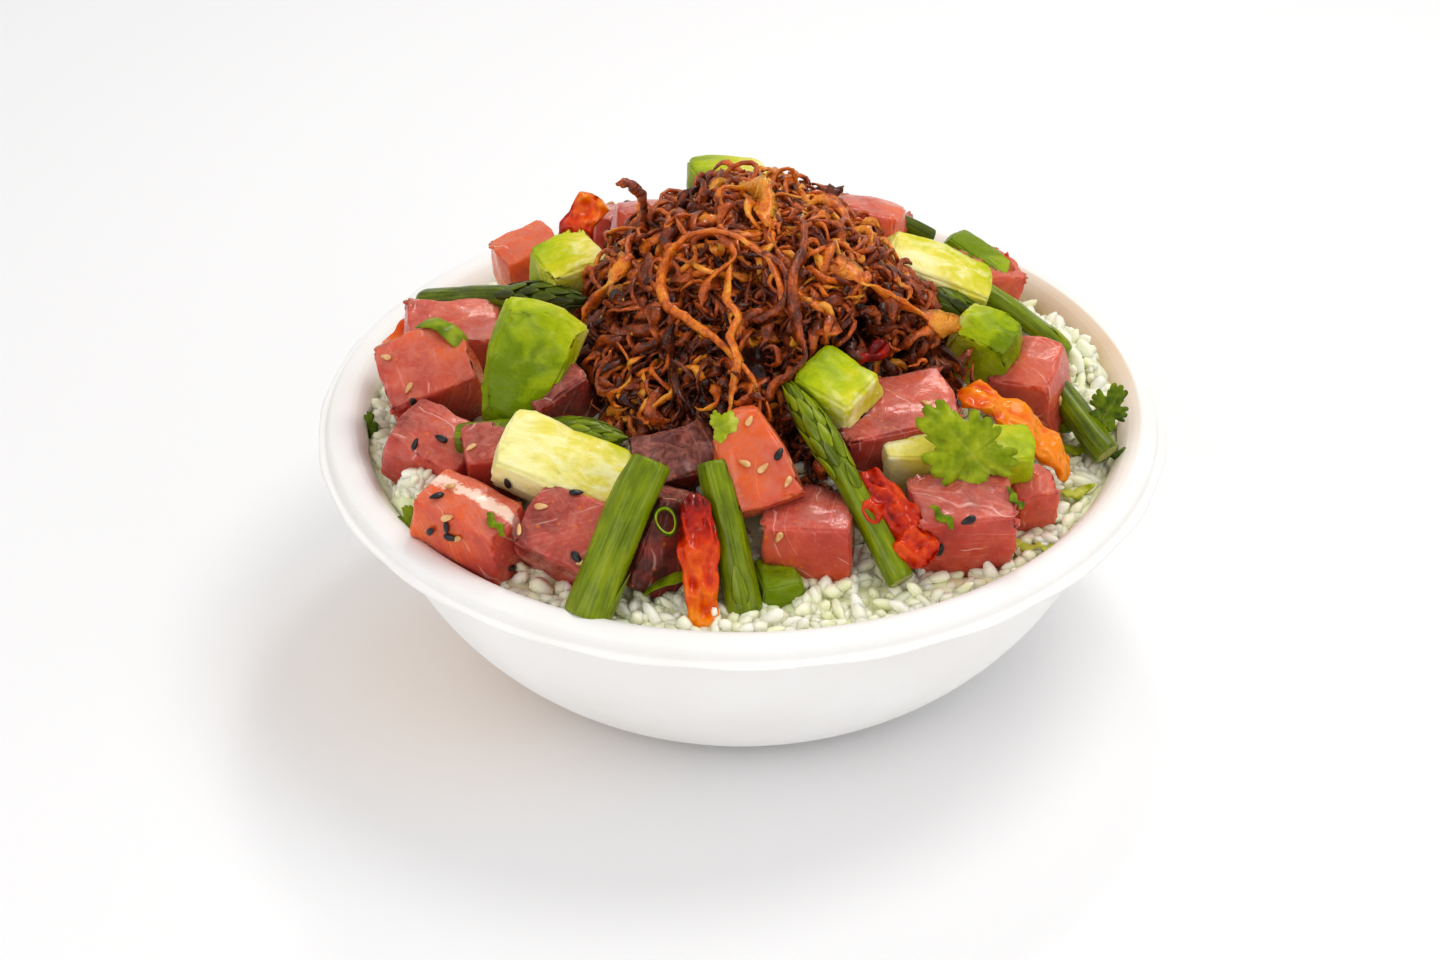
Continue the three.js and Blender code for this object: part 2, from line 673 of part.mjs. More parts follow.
// A strand that curls over the mound, off it between the places where it touches. At the mound's
// foot it turns back.
function curlyStrand(start, random) {
  const [centreX, centreY] = ONION.centre;
  let { x, y } = start;
  let heading = random() * 2 * Math.PI;
  const curl = (random() < 0.5 ? -1 : 1) * (BENDS.leastCurl + random() * BENDS.moreCurl);
  const points = [];
  for (let i = 0; i < BENDS.count; i++) {
    const height = moundHeight(x, y);
    const isTouching = i % BENDS.perTouch === 1;
    points.push(offMound(x, y, isTouching ? -STRAND.dip : STRAND.lift * random()));
    const slope = moundHeight(x + Math.cos(heading), y + Math.sin(heading)) - height;
    const isAtFoot = height + slope * STRAND.stride < ONION.base + BENDS.footHeight;
    heading = isAtFoot ? Math.atan2(centreY - y, centreX - x) : heading + curl;
    const advance = STRAND.stride / Math.hypot(1, slope);
    x += Math.cos(heading) * advance;
    y += Math.sin(heading) * advance;
  }
  return strandGeometry(points);
}

// The large open loop on the front of the heap, with a tail that runs down from it.
function loopStrand() {
  const points = [];
  for (let i = 0; i <= LOOP.turns; i++) {
    const angle = LOOP.start + (i / LOOP.turns) * LOOP.sweep;
    const x = LOOP.centre[0] + Math.cos(angle) * LOOP.radius[0];
    const y = LOOP.centre[1] + Math.sin(angle) * LOOP.radius[1];
    const isEnd = i === 0 || i === LOOP.turns;
    points.push(offMound(x, y, isEnd ? -STRAND.dip : LOOP.leastLift + LOOP.moreLift * i));
  }
  return strandGeometry(points);
}

// The hook that stands up at the heap's left shoulder.
function hookStrand() {
  const [x, y] = HOOK.foot;
  const foot = moundHeight(x, y) - STRAND.dip;
  const points = HOOK.bends.map(([shift, share]) => {
    return new THREE.Vector3(x + shift, y, foot + HOOK.rise * share);
  });
  return strandGeometry(points);
}

// Fuses strands to the core, each joined to it in a few places, clear of the other pieces and begun
// a spacing away from those before it.
function withStrands(core, others) {
  const random = randomFrom(29);
  const starts = [];
  let heap = fused(core, [loopStrand(), hookStrand()].map(solidOf));
  for (let i = 0; i < STRANDS.tries && starts.length < STRANDS.count; i++) {
    const azimuth = random() * 2 * Math.PI;
    const share = Math.sqrt(random());
    const start = new THREE.Vector2(
      ONION.centre[0] + Math.cos(azimuth) * share * ONION.radius[0],
      ONION.centre[1] + Math.sin(azimuth) * share * ONION.radius[1],
    );
    if (starts.some((other) => other.distanceTo(start) < STRANDS.spacing)) {
      continue;
    }
    const strand = solidOf(curlyStrand(start, random));
    const joint = strand.intersect(heap).volume();
    if (joint > STRANDS.leastJoint && joint < STRANDS.mostJoint && !crosses(strand, others)) {
      heap = heap.add(strand);
      starts.push(start);
    }
  }
  return largestBody(heap);
}

// ---- Seeds and scraps ----

// A lozenge that lies on a piece where a direction from the middle of its box leaves it.
function lozengeOn(mesh, size, [azimuth, elevation], i) {
  const geometry = worldGeometry(mesh);
  geometry.computeBoundingBox();
  const middle = geometry.boundingBox.getCenter(new THREE.Vector3());
  const direction = new THREE.Vector3(1, 0, 0)
    .applyAxisAngle(new THREE.Vector3(0, -1, 0), radians(elevation))
    .applyAxisAngle(new THREE.Vector3(0, 0, 1), radians(azimuth));
  const reach = geometry.boundingBox.getSize(new THREE.Vector3()).length();
  const outside = middle.addScaledVector(direction, reach);
  const target = new THREE.Mesh(geometry, mesh.material);
  const hit = new THREE.Raycaster(outside, direction.clone().negate()).intersectObject(target)[0];
  const upright = new THREE.Quaternion().setFromUnitVectors(new THREE.Vector3(0, 0, 1), hit.face.normal);
  return lozengeGeometry(size)
    .rotateZ(i * LOZENGE_TURN)
    .applyQuaternion(upright)
    .translate(...hit.point.toArray());
}

function riceScraps() {
  return RICE_SCRAPS.at.map(([x, y], i) => {
    const scrap = lozengeGeometry(SCRAP).rotateZ(i * LOZENGE_TURN);
    return solidOf(scrap.translate(x, y, riceHeight(x, y) + RICE_SCRAPS.rise));
  });
}

// ---- Building ----

function fused(core, pieces) {
  return largestBody(pieces.reduce((joined, piece) => joined.add(piece), core));
}

const bowl = placed("bowl", "bowl", bowlGeometry(), [0, 0, 0], [0, 0, 0]);
const rice = placed("rice", "rice", riceCoreGeometry(), [0, 0, 0], [0, 0, 0]);
const onion = placed("fried_onion", "onion", moundGeometry(), [0, 0, 0], [0, 0, 0]);

// Thin pieces lie on top of the others and are fitted first.
const thinPieces = [
  ...HERBS.map((herb) => placed(herb.name, "herb", leafGeometry(herb), herb.at, herb.turn)),
  placed(SCALLION.name, "herb", ringGeometry(RING), SCALLION.at, SCALLION.turn),
  ...ASPARAGUS.map((spear) => {
    const geometry = spearGeometry({ ...spear, length: lengthBetween(spear.from, spear.to) });
    return laidAlong(spear.name, "asparagus", geometry, spear);
  }),
  ...[...BLADES, ...PEPPERS].map((strip, seed) => {
    const kind = strip.name.startsWith("pepper") ? "pepper" : "herb";
    const length = lengthBetween(strip.from, strip.to);
    const geometry = stripGeometry({ ...strip, length, crinkle: CRINKLE[kind], seed });
    return laidAlong(strip.name, kind, geometry, strip);
  }),
];

// Cubes are fitted from the front and top of the heap to its back, so those that show most stay whole.
const cubes = [
  ...TUNA.map((cube, i) => placed(cube.name, "tuna", cubeGeometry(cube, i), cube.at, cube.turn)),
  ...AVOCADO.map((cube, i) => {
    return placed(cube.name, "avocado", cubeGeometry(cube, i + AVOCADO_SEED), cube.at, cube.turn);
  }),
];
const fittingOrder = (mesh) => mesh.position.y - FITTING_SLOPE * mesh.position.z;
cubes.sort((a, b) => fittingOrder(a) - fittingOrder(b));

const cutters = [bowl, rice].map((mesh) => solidOf(grown(mesh.geometry)));
for (const mesh of [...thinPieces, ...cubes]) {
  const geometry = worldGeometry(mesh);
  setWorldSolid(mesh, cutBy(solidOf(geometry), cutters));
  cutters.push(solidOf(grown(geometry)));
}

setWorldSolid(onion, withStrands(cutBy(solidOf(onion.geometry), cutters), cutters));
setWorldSolid(bowl, solidOf(bowl.geometry));

const meshes = [bowl, rice, ...thinPieces, ...cubes, onion];
const solids = new Map(meshes.map((mesh) => [mesh, solidOf(worldGeometry(mesh))]));

// The solids of all pieces but one.
function solidsBeside(mesh) {
  return meshes.filter((other) => other !== mesh).map((other) => solids.get(other));
}

function fuseTo(mesh, pieces) {
  const solid = fused(solids.get(mesh), pieces);
  solids.set(mesh, solid);
  setWorldSolid(mesh, solid);
}

fuseTo(rice, riceGrains(solidsBeside(rice)));
fuseTo(rice, riceScraps().filter((scrap) => !crosses(scrap, solidsBeside(rice))));

for (const [size, places] of [[SEED, SEEDS], [SCRAP, SCRAPS]]) {
  for (const { on, towards } of places) {
    const mesh = meshes.find((other) => other.name === on);
    const lozenges = towards.map((angles, i) => lozengeOn(mesh, size, angles, i));
    const others = solidsBeside(mesh);
    const clear = lozenges.filter((lozenge) => !crosses(solidOf(grown(lozenge)), others));
    fuseTo(mesh, clear.map(solidOf));
  }
}

const pokeBowl = new THREE.Group();
pokeBowl.add(...meshes);

export default pokeBowl;
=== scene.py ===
"""A tuna poke bowl: a moulded-fibre bowl of rice with a ring of tuna, avocado, asparagus, peppers and herbs,
and a heap of crisp fried onions on top. Sizes and places are in millimetres until a mesh is finished."""

from math import cos, degrees, hypot, pi, radians, sin, sqrt, tau
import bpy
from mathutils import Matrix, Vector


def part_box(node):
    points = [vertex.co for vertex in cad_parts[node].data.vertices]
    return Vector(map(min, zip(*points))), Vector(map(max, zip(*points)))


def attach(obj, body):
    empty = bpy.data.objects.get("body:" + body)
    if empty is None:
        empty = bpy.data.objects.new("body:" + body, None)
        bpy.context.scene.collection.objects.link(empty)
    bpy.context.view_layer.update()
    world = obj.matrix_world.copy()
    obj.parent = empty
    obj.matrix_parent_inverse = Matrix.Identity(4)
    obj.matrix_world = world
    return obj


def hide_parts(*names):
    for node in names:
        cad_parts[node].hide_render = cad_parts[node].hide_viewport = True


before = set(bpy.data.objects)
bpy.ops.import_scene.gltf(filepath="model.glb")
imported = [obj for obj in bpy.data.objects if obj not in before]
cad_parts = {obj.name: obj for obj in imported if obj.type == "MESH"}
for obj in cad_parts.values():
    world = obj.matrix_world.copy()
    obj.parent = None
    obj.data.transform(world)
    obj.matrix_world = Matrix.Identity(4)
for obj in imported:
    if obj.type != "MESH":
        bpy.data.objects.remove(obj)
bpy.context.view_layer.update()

from types import SimpleNamespace as Sizes

import bpy
import numpy as np
from mathutils import Matrix, Vector
from mathutils.bvhtree import BVHTree

MM = 0.001

# ---- Camera, floor and light ----

CAMERA = Sizes(at=(-5.3, -620.1, 459.0), down=34.06, roll=0.44, lens=77.55, sensor=36.0)
LIGHTS = [
    # name, place, size, power, colour
    ("key", (330, 90, 860), 420, 1.95, (1, 0.985, 0.96)),
    ("glint", (90, 420, 620), 110, 0.6, (1, 0.98, 0.95)),
    ("fill", (-420, -640, 500), 600, 1.3, (1, 0.985, 0.975)),
    ("side", (620, -480, 420), 600, 0.62, (1, 1, 1)),
]
SKY = Sizes(zenith=0.72, horizon=0.74)
FLOOR = Sizes(half=2500, color=(246, 246, 247))
# Painted warm shade on the floor beside the bowl, where its shadow falls.
PAINTED_WARM_SHADE = Sizes(at=(-68, -20, 0), inner=8, outer=78, color=(246, 238, 232))
GAMMA = 0.86

# ---- The bowl and its rice ----

BOWL = Sizes(height=63, foot=43.8, shoulder=90.4, shoulder_height=59.9, fullness=1.69, wall=1.6, lip=93)
BOWL_MESH = Sizes(segments=192, wall_steps=40)
# Painted shade on the inner wall at its right and back, which the light from the right doesn't reach: its direction
# and reach in degrees, and the height it starts at.
WALL_SHADE = Sizes(towards=22, reach=34, above=45)
# The rim's corners, from inside to outside: how far out from the lip, and how far below the top.
RIM = [
    (-1.8, 0.7), (0, 0), (4, 0.7), (5.1, 2), (5.2, 3.4), (7.2, 3.7), (7.2, 4.6), (3.8, 4.6), (3.4, 2.1),
    (-0.6, 1.9),
]
RICE = Sizes(edge=56, heap=19, heap_radius=56, slope=5.5)
RICE_LUMPS = [((70, 15), 11, 12), ((-73.5, -40.5), 10, 4.4)]
GRAINS = Sizes(count=2680, edge=170, clump=34, inner=43, length=6.6, width=3.8, sides=6, rings=6)

# ---- The onions ----

ONION = Sizes(centre=(4, 3), radius=(49, 53), base=65, top=112)
# Its right shoulder falls away: where, how far, and how wide.
SHOULDER = Sizes(at=(26, 9), drop=4, spread=12)
STRANDS = Sizes(count=1000, step=0.8, sides=5)
LOOSE_CURLS = 760
# Where crumbs have come down in front of the heap, and how many at each place.
SPILLS = [
    (16, -47, 74), (24, -50, 69), (-30, -40, 76), (46, -22, 80), (30, -17, 94), (32, -25, 88), (3, -40, 83),
    (-8, -41, 80), (4, -37, 91), (28, -22, 97),
]
SPILLED = 20
# The strands near the loop stay low, so that it stands clear of them.
LOOP = Sizes(at=(-4, -24), clear=17, lift=1.3)
HERO_STRANDS = [
    # width, thickness, tone, points
    (2.5, 1.2, 0.72, [
        (9, -27, 102), (9, -25, 107), (7, -20, 110.5), (2, -15, 113), (-4, -13, 114.5), (-11, -12, 113.5),
        (-16.5, -14, 109), (-18, -17, 104.5), (-16.5, -22, 101.5), (-12, -26, 100.5), (-7, -31, 99),
        (-2, -35.5, 96.5), (2, -38.5, 93), (3.5, -41, 89), (3, -44, 84.5),
    ]),
    (2.2, 1.0, 0.84, [
        (-3, -20, 110), (-3, -23, 109), (-3, -27, 106), (-1, -30, 103.5), (-2.5, -34, 100.5), (-1, -37, 97),
        (-2, -39, 93), (-3, -42, 88), (-2, -45, 84),
    ]),
    (3.2, 1.2, 0.4, [
        (10, -6, 114), (14, -9, 114.5), (13.5, -16, 112), (11.5, -22, 110), (11.5, -27, 106), (12.5, -32, 100.5),
        (14, -35.5, 97), (11, -38, 94), (7, -39.5, 92), (5, -42, 88),
    ]),
    (2.4, 1.2, 0.3, [
        (0, -16, 111), (5, -18, 112), (9.5, -22, 109.5), (9, -27, 105.5), (4, -29, 102), (1, -28, 101),
    ]),
    (6.4, 0.8, 0.84, [
        (19, -16, 108), (24, -17, 106.5), (29, -19, 103.5), (34, -20, 100.5), (39, -19, 97), (44, -17, 93.5),
        (48, -15, 90.5),
    ]),
    (4.4, 0.9, 0.74, [(-24, -6, 105), (-28, -9, 101.5), (-33, -11, 96), (-36, -12, 91)]),
    (6.0, 0.9, 0.93, [(1, 12, 113), (3, 8, 115.5), (5, 2, 116), (5, -4, 114.5), (7, -8, 112)]),
    (2.2, 1.0, 0.6, [(-10, -10, 112), (-6, -12, 114), (-2, -17, 111), (-7, -22, 107.5), (-9, -25, 103)]),
    (2.6, 1.9, 0.4, [
        (-22.4, 8, 98), (-21.9, 8, 102.5), (-21.6, 8, 106.5), (-21.7, 8, 110.3), (-22.3, 8, 113.4),
        (-23.8, 8, 115.3), (-25.6, 8, 116.1), (-27.3, 8, 116),
    ]),
]

# ---- Toppings: a row is a piece, named after its kind and number ----

TUNA = [
    # at, size, turn in degrees, tone (0 purple, 1 orange), tone change across the cube
    ((-72, -8, 73), (22, 18, 20), (28, -8, 20), 0.48, (0.16, 0.1, 0.1)),
    ((-69, -31, 68.5), (23, 16, 16), (20, 0, -35), 0.44, (0.1, 0, 0)),
    ((-60.5, -57, 64.5), (25, 14, 22), (12, 0, -34), 0.58, (-0.1, 0, 0.1)),
    ((-38, -63, 67), (20, 17, 16), (34, 0, -28), 0.48, (0.12, 0.1, -0.1)),
    ((-41, -23, 77.5), (14, 12, 18), (20, -20, 30), 0.04, (0, 0, 0.1)),
    ((-69, 10, 73), (22, 14, 17), (15, 10, 10), 0.54, (0.1, 0, 0)),
    ((-51, 46, 71), (16, 15, 22), (8, -12, 25), 0.78, (0, 0, 0)),
    ((1.5, -54, 81.5), (15, 11, 24), (-40, -18, 0), 0.8, (0, 0, 0.14)),
    ((14, -62, 67), (20, 16, 16), (4, 0, -4), 0.46, (0, -0.12, -0.14)),
    ((33.5, -36, 77), (27, 17, 18), (12, 0, 16), 0.33, (0.1, 0, 0.1)),
    ((47.5, -58, 66), (22, 16, 20), (10, 0, 8), 0.5, (0, 0, -0.1)),
    ((67, -10, 71.5), (16, 16, 20), (15, -10, -20), 0.5, (0, 0, 0)),
    ((64, -45.5, 65), (11, 11, 14), (20, 0, 20), 0.56, (0, 0, 0)),
    ((-17, -64, 67), (16, 13, 23), (-20, 20, 20), 0.08, (0.1, 0, 0)),
    ((-15, -46, 74), (18, 14, 14), (20, 0, 15), -0.04, (0, 0, 0)),
    ((-56, -42, 73), (12, 12, 15), (10, 0, 10), 0.3, (0, 0, 0)),
    ((57, 28, 74), (17, 15, 21), (0, 15, 30), 0.6, (0, 0, 0)),
    ((-21, 34, 89), (18, 14, 14), (-15, 0, 15), 0.5, (0, 0, 0)),
    ((30, 26, 94), (17, 14, 13), (-15, 10, -15), 0.62, (0, 0, 0)),
    ((-29, 60, 71), (22, 18, 18), (-22, 0, 24), 0.46, (0.1, 0, 0)),
    ((0, 64, 71), (21, 18, 18), (-28, 8, -10), 0.62, (0, 0.1, 0)),
    ((30, 61, 69), (24, 17, 18), (-24, 0, -30), 0.36, (0, 0, 0.1)),
]
AVOCADO = [
    # at, size, turn, direction of the green side, share of green
    ((-49, -23, 86.5), (18, 10, 31), (-32, 22, 0), (-0.5, -1, 0.3), 0.8),
    ((-41, 19, 84), (15, 14, 21), (10, 0, 30), (-1, 0.2, 0.2), 0.42),
    ((-41, -50, 77), (28, 16, 13), (30, 14, -18), (1, 0.6, 0.3), 0.1),
    ((21, -36, 87), (16, 14, 16), (25, 0, -38), (-0.5, 0.3, 0.9), 0.5),
    ((56, -7.5, 81.2), (16, 13, 18.5), (22, 5, -25), (0.6, -0.6, 0.3), 0.62),
    ((45, 10, 90), (28, 12, 13), (25, 22, -10), (0.5, 0.8, 0.3), 0.3),
    ((-3, 36, 99), (18, 14, 14), (-10, 5, 10), (-1, -0.2, 0), 0.6),
    ((47.5, -43.5, 74), (33, 11, 15), (15, 2, 0), (1, 0, 0.1), 0.4),
    ((57, 31, 81), (18, 10, 9), (0, 25, -30), (0, 0, 1), 0.75),
    ((7, -69.5, 58.5), (10, 12, 11), (10, 0, 15), (0, -1, 0), 0.95),
]
# The cube with a stripe of fat along its top.
FATTY = "tuna_03"
# A cube's taper and the softness of its corners, where they differ from the others'.
SHAPES = {
    "tuna_05": (0.1, 0.4), "tuna_08": (-0.24, 0.3), "tuna_13": (None, 0.4), "avocado_01": (0.26, 1),
    "avocado_02": (None, 0.4), "avocado_05": (None, 0.2), "avocado_07": (0.2, 0.9),
}
ASPARAGUS = [
    # from, to, radius, has a tip, bow, shade (0 dark, 1 yellow-green)
    ((-34.5, -83, 60), (-20, -62, 87), 5, False, 1, 0.48),
    ((0, -79, 58), (-7, -57, 83), 3.9, False, 1, 0.42),
    ((34, -73.5, 62.5), (9, -38.5, 92.5), 3.0, True, 2, 0.46),
    ((-64, -36, 76), (-26, -44, 81), 3.4, True, 1, 0.42),
    ((-77, 30, 72), (-36, 4, 88), 3.4, True, 1, 0.26),
    ((66, -4, 78), (40, 6, 91), 3.6, True, 0, 0.3),
    ((77, 8, 69), (55, 18, 83), 3.2, False, 1, 0.5),
    ((46, 28, 90), (26, 30, 98), 2.4, True, 1, 0.2),
    ((84, -25, 63), (72, -9, 73), 3.4, False, 0, 0.34),
    ((-56, 57, 63), (-14, 52, 84), 3.6, True, 1, 0.4),
]
# A stalk's outline, with a tip or without: shares of its length, and of its radius there.
STALK = {
    True: [
        (0, 0.96), (0.02, 1.03), (0.35, 0.97), (0.58, 0.98), (0.66, 1.12), (0.76, 1.1), (0.86, 0.85), (0.94, 0.5),
        (1, 0.12),
    ],
    False: [(0, 0.94), (0.02, 1.03), (0.35, 0.97), (0.7, 0.94), (0.985, 0.9), (1, 0.82)],
}
PEPPERS = [
    # from, to, width, thickness, bow, roll, redness at the start and the end, depth of the wrinkles
    ((-9, -83, 56), (-11, -66, 81), 8, 3, 1, 0, (-0.12, 0.94), 1.1),
    ((40.5, -70.8, 65.3), (24.3, -56.6, 79), 10.5, 3.4, 1, -32, (0.5, 0.62), 2.1),
    ((74, -36, 64), (49, -27, 82), 10, 3.4, 3, 0, (-0.16, 0.1), 0.9),
    ((-40.9, 38, 83.2), (-34.4, 43, 94), 9, 3, 3, 30, (0.8, 0.05), 1.5),
    ((24, -30, 91), (33, -26, 93), 4, 2.4, 0, 0, (0.9, 0.9), 0.3),
    ((14, 27, 100), (24, 24, 101), 4, 2.2, 1, 0, (0.8, 0.8), 0.3),
    ((-85, 10, 71), (-74, 14, 77), 5, 2.6, 1, 0, (0.2, 0.5), 0.4),
]
HERB_LEAVES = [
    # at, size, turn, lobes, depth of the lobes, shade
    ((50.1, -52.7, 81.5), (22, 19), (52, 6, 135), 5, 0.36, 0.72),
    ((-5, -52.4, 89.2), (6, 8), (50, 0, 20), 3, 0.4, 0.85),
    ((84.3, -17.5, 70), (10, 10), (60, 10, 60), 5, 0.45, 0.36),
    ((-75, -49, 60), (8, 11), (60, -40, 20), 5, 0.4, 0.5),
    ((-88, -5, 59), (6, 8), (70, -50, 0), 5, 0.4, 0.4),
]
LEAF = Sizes(columns=32, rings=10, teeth=4, thickness=0.4)
HERB_STEMS = [
    # from, to, width, thickness, bow, roll
    ((-75.5, 0, 84), (-64, -9, 83), 5, 0.9, 3, 0),
    ((-22, -74, 60), (-12, -76, 66), 4, 1, 1, 0),
]
SCALLION = Sizes(at=(-17, -71, 77), radius=3.4, wall=0.9, length=4, turn=(50, 0, 20))

SEED_SIZE = (3.4, 2.2, 1.4)
# Seeds and shreds on a piece: azimuth and elevation from the middle of its box, in degrees.
BLACK_SEEDS = {
    "tuna_01": [(-105, 15)], "tuna_02": [(-120, 40), (-80, 50)],
    "tuna_03": [(-160, 55), (-150, 20), (-120, 35), (-115, 25), (-45, -15)], "tuna_04": [(55, 75), (-80, 10)],
    "tuna_08": [(-35, 45)], "tuna_10": [(-5, 30)], "tuna_11": [(-85, 40), (-120, 0)], "tuna_20": [(80, 55)],
    "tuna_22": [(80, 30)], "avocado_03": [(-155, 0)],
}
TAN_SEEDS = {
    "tuna_01": [(-170, 40), (-113, 27)], "tuna_03": [(-175, 70), (-120, 45), (-105, 25)],
    "tuna_04": [(-75, 5), (-170, 55), (-155, 25)], "tuna_08": [(-130, 35), (125, 70), (-80, 30), (-50, 5)],
    "tuna_09": [(-130, 25)], "tuna_10": [(-10, 50)], "tuna_12": [(-50, 5)], "tuna_16": [(-140, 50)],
    "tuna_20": [(110, 20)], "tuna_21": [(70, 40), (100, 60)],
}
SHREDS = {"tuna_03": [(-60, 35)], "tuna_11": [(-120, 40), (-10, 35)]}
SHRED_SIZE = (3.6, 1.3, 0.45)
# Shreds on the rice: place and lift above it, size, shade.
RICE_SHREDS = [
    ((62, -57, 3), (4.6, 2, 1.1), 0.95), ((69, -58, 3), (4.6, 2, 1.1), 0.95), ((76, -36, 3), (4.6, 2, 1.1), 0.95),
    ((75.6, -13.8, 6), (3.2, 2.4, 2), 0.62), ((78.1, -20, 4), (4.6, 2.2, 1.2), 0.74),
    ((84.8, -21, 4), (4.2, 2.6, 0.8), 0.3),
]


# ---- Numbers ----


def named(kind, rows):
    """The rows of a table, each with the number and the name of its piece."""
    return [(index, f"{kind}_{index + 1:02}", *row) for index, row in enumerate(rows)]


def srgb(color):
    """A colour of 0 to 255 as linear light, with a full alpha."""
    share = np.array(color) / 255
    return (*np.where(share <= 0.04045, share / 12.92, ((share + 0.055) / 1.055) ** 2.4).tolist(), 1)


def stacked(*parts):
    return np.stack(np.broadcast_arrays(*parts), axis=-1)


def circle(count):
    return np.arange(count) * tau / count


def unit(vector):
    vector = np.asarray(vector, float)
    return vector / np.maximum(np.linalg.norm(vector, axis=-1, keepdims=True), 1e-9)


def signed_power(value, exponent):
    return np.sign(value) * np.abs(value) ** exponent


def unevenness(x, y, z, seed):
    """A smooth value between -1 and 1 that changes over a few millimetres."""
    a = np.sin(x * 0.31 + y * 0.17 + seed * 1.7)
    b = np.sin(y * 0.37 - z * 0.23 + seed * 2.9)
    return (a + b + np.sin(z * 0.29 + x * 0.21 - seed * 0.7)) / 3


def lattice(cells, seed):
    """A fixed random value between -1 and 1 for each whole-numbered cell."""
    h = (cells[..., 0] * 374761393 + cells[..., 1] * 668265263 + cells[..., 2] * 2147483629 + seed * 974634777)
    h = (h & 0xFFFFFFFF).astype(np.uint64)
    h = ((h ^ (h >> np.uint64(13))) * np.uint64(1274126177)) & np.uint64(0xFFFFFFFF)
    return ((h ^ (h >> np.uint64(16))) & np.uint64(0xFFFF)).astype(float) / 32767.5 - 1


def noise(points, seed=0):
    """Smooth noise between -1 and 1 with cells of 1."""
    cells = np.floor(points).astype(np.int64)
    inside = points - cells
    inside = inside * inside * (3 - 2 * inside)
    total = np.zeros(points.shape[:-1])
    for corner in range(8):
        offset = np.array([corner & 1, corner >> 1 & 1, corner >> 2 & 1])
        total += np.prod(np.where(offset, inside, 1 - inside), axis=-1) * lattice(cells + offset, seed)
    return total


def layered_noise(points, seed):
    """Noise with a finer layer of half the height on top."""
    return noise(points, seed) + noise(points * 2 + 17.3, seed + 1) / 2


def shift_noise(points, seed):
    """Noise in three directions."""
    return stacked(*(noise(points, seed + k) for k in range(3)))


def turned(angles):
    """The rotation that turns about X, then Y, then Z of the turned axes. Degrees."""
    matrix = np.eye(3)
    for axis, angle in zip("XYZ", angles):
        matrix = matrix @ np.array(Matrix.Rotation(radians(angle), 3, axis))
    return matrix


# ---- Meshes ----


def grid_faces(rows, columns, closed=True):
    """Four-sided faces between the points of a grid, closed round its columns or open."""
    row, column = np.meshgrid(np.arange(rows - 1), np.arange(columns - (not closed)), indexing="ij")
    after, row = (column + 1) % columns, row * columns
    return stacked(row + column, row + columns + column, row + columns + after, row + after).reshape(-1, 4)


def tube_faces(rings, sides, flipped=False):
    """Faces of a closed tube: its skin and the two ends."""
    last = (rings - 1) * sides
    faces = grid_faces(rings, sides).tolist() + [list(range(sides)), list(range(last, last + sides))[::-1]]
    return faces if flipped else [face[::-1] for face in faces]


def normals_of(points, quads):
    across = np.cross(points[quads[:, 2]] - points[quads[:, 0]], points[quads[:, 3]] - points[quads[:, 1]])
    total = np.zeros_like(points)
    for corner in range(4):
        np.add.at(total, quads[:, corner], across)
    return unit(total)


def round_x(along, radius, angle):
    return stacked(along, radius * np.cos(angle), radius * np.sin(angle))


def round_z(radius, angle, height):
    return stacked(radius * np.cos(angle), radius * np.sin(angle), height)


def add_object(name, data):
    thing = bpy.data.objects.new(name, data)
    bpy.context.scene.collection.objects.link(thing)
    return thing


class Heap:
    """Points, faces and point values that become one object."""

    def __init__(self):
        self.points, self.faces, self.values, self.count = [], [], {}, 0

    def add(self, points, faces, **values):
        self.faces += [[corner + self.count for corner in face] for face in faces]
        self.points.append(points)
        for name, value in values.items():
            value = np.asarray(value, float)
            shape = (len(points), 3) if value.ndim == 2 else len(points)
            self.values.setdefault(name, []).append(np.broadcast_to(value, shape))
        self.count += len(points)
        return self

    def finish(self, name, slot, stands_for=None, look=None):
        mesh = bpy.data.meshes.new(name)
        mesh.from_pydata((np.concatenate(self.points) * MM).tolist(), [], self.faces)
        mesh.shade_smooth()
        for key, parts in self.values.items():
            data = np.concatenate(parts)
            kind, field = ("FLOAT", "value") if data.ndim == 1 else ("FLOAT_VECTOR", "vector")
            mesh.attributes.new(key, kind, "POINT").data.foreach_set(field, data.astype(np.float32).ravel())
        mesh.materials.append(look or LOOKS[slot])
        piece = add_object(name, mesh)
        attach(piece, "root")
        if stands_for:
            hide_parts(stands_for)


def drop(sides, rings, pointed):
    """A closed egg along X, from -1 to 1, that narrows towards +X."""
    angle = np.linspace(0.14, pi - 0.14, rings)[:, None]
    along = -np.cos(angle)
    across = np.sin(angle) * (1 - pointed * (along + 1) / 2)
    return round_x(along, across, circle(sides)).reshape(-1, 3), tube_faces(rings, sides)


def carried(path):
    """Two axes square to a path at each of its points, that turn as little as they can."""
    along = unit(np.gradient(path, axis=0))
    side = unit(np.cross((0, 0, 1) if abs(along[0][2]) < 0.9 else (1, 0, 0), along[0]))
    sides = []
    for direction in along:
        side = unit(side - direction * side.dot(direction))
        sides.append(side)
    return np.array(sides), np.cross(along, sides)


def ribbon(path, width, thickness, twist, sides):
    """A closed band along a path, with its width, thickness and twist at each point."""
    side, up = carried(path)
    around, c, s = circle(sides), np.cos(twist)[:, None], np.sin(twist)[:, None]
    flat = (side * c + up * s)[:, None] * (np.outer(width, np.cos(around)) / 2)[..., None]
    thin = (up * c - side * s)[:, None] * (np.outer(thickness, np.sin(around)) / 2)[..., None]
    return (path[:, None] + flat + thin).reshape(-1, 3), tube_faces(len(path), sides)


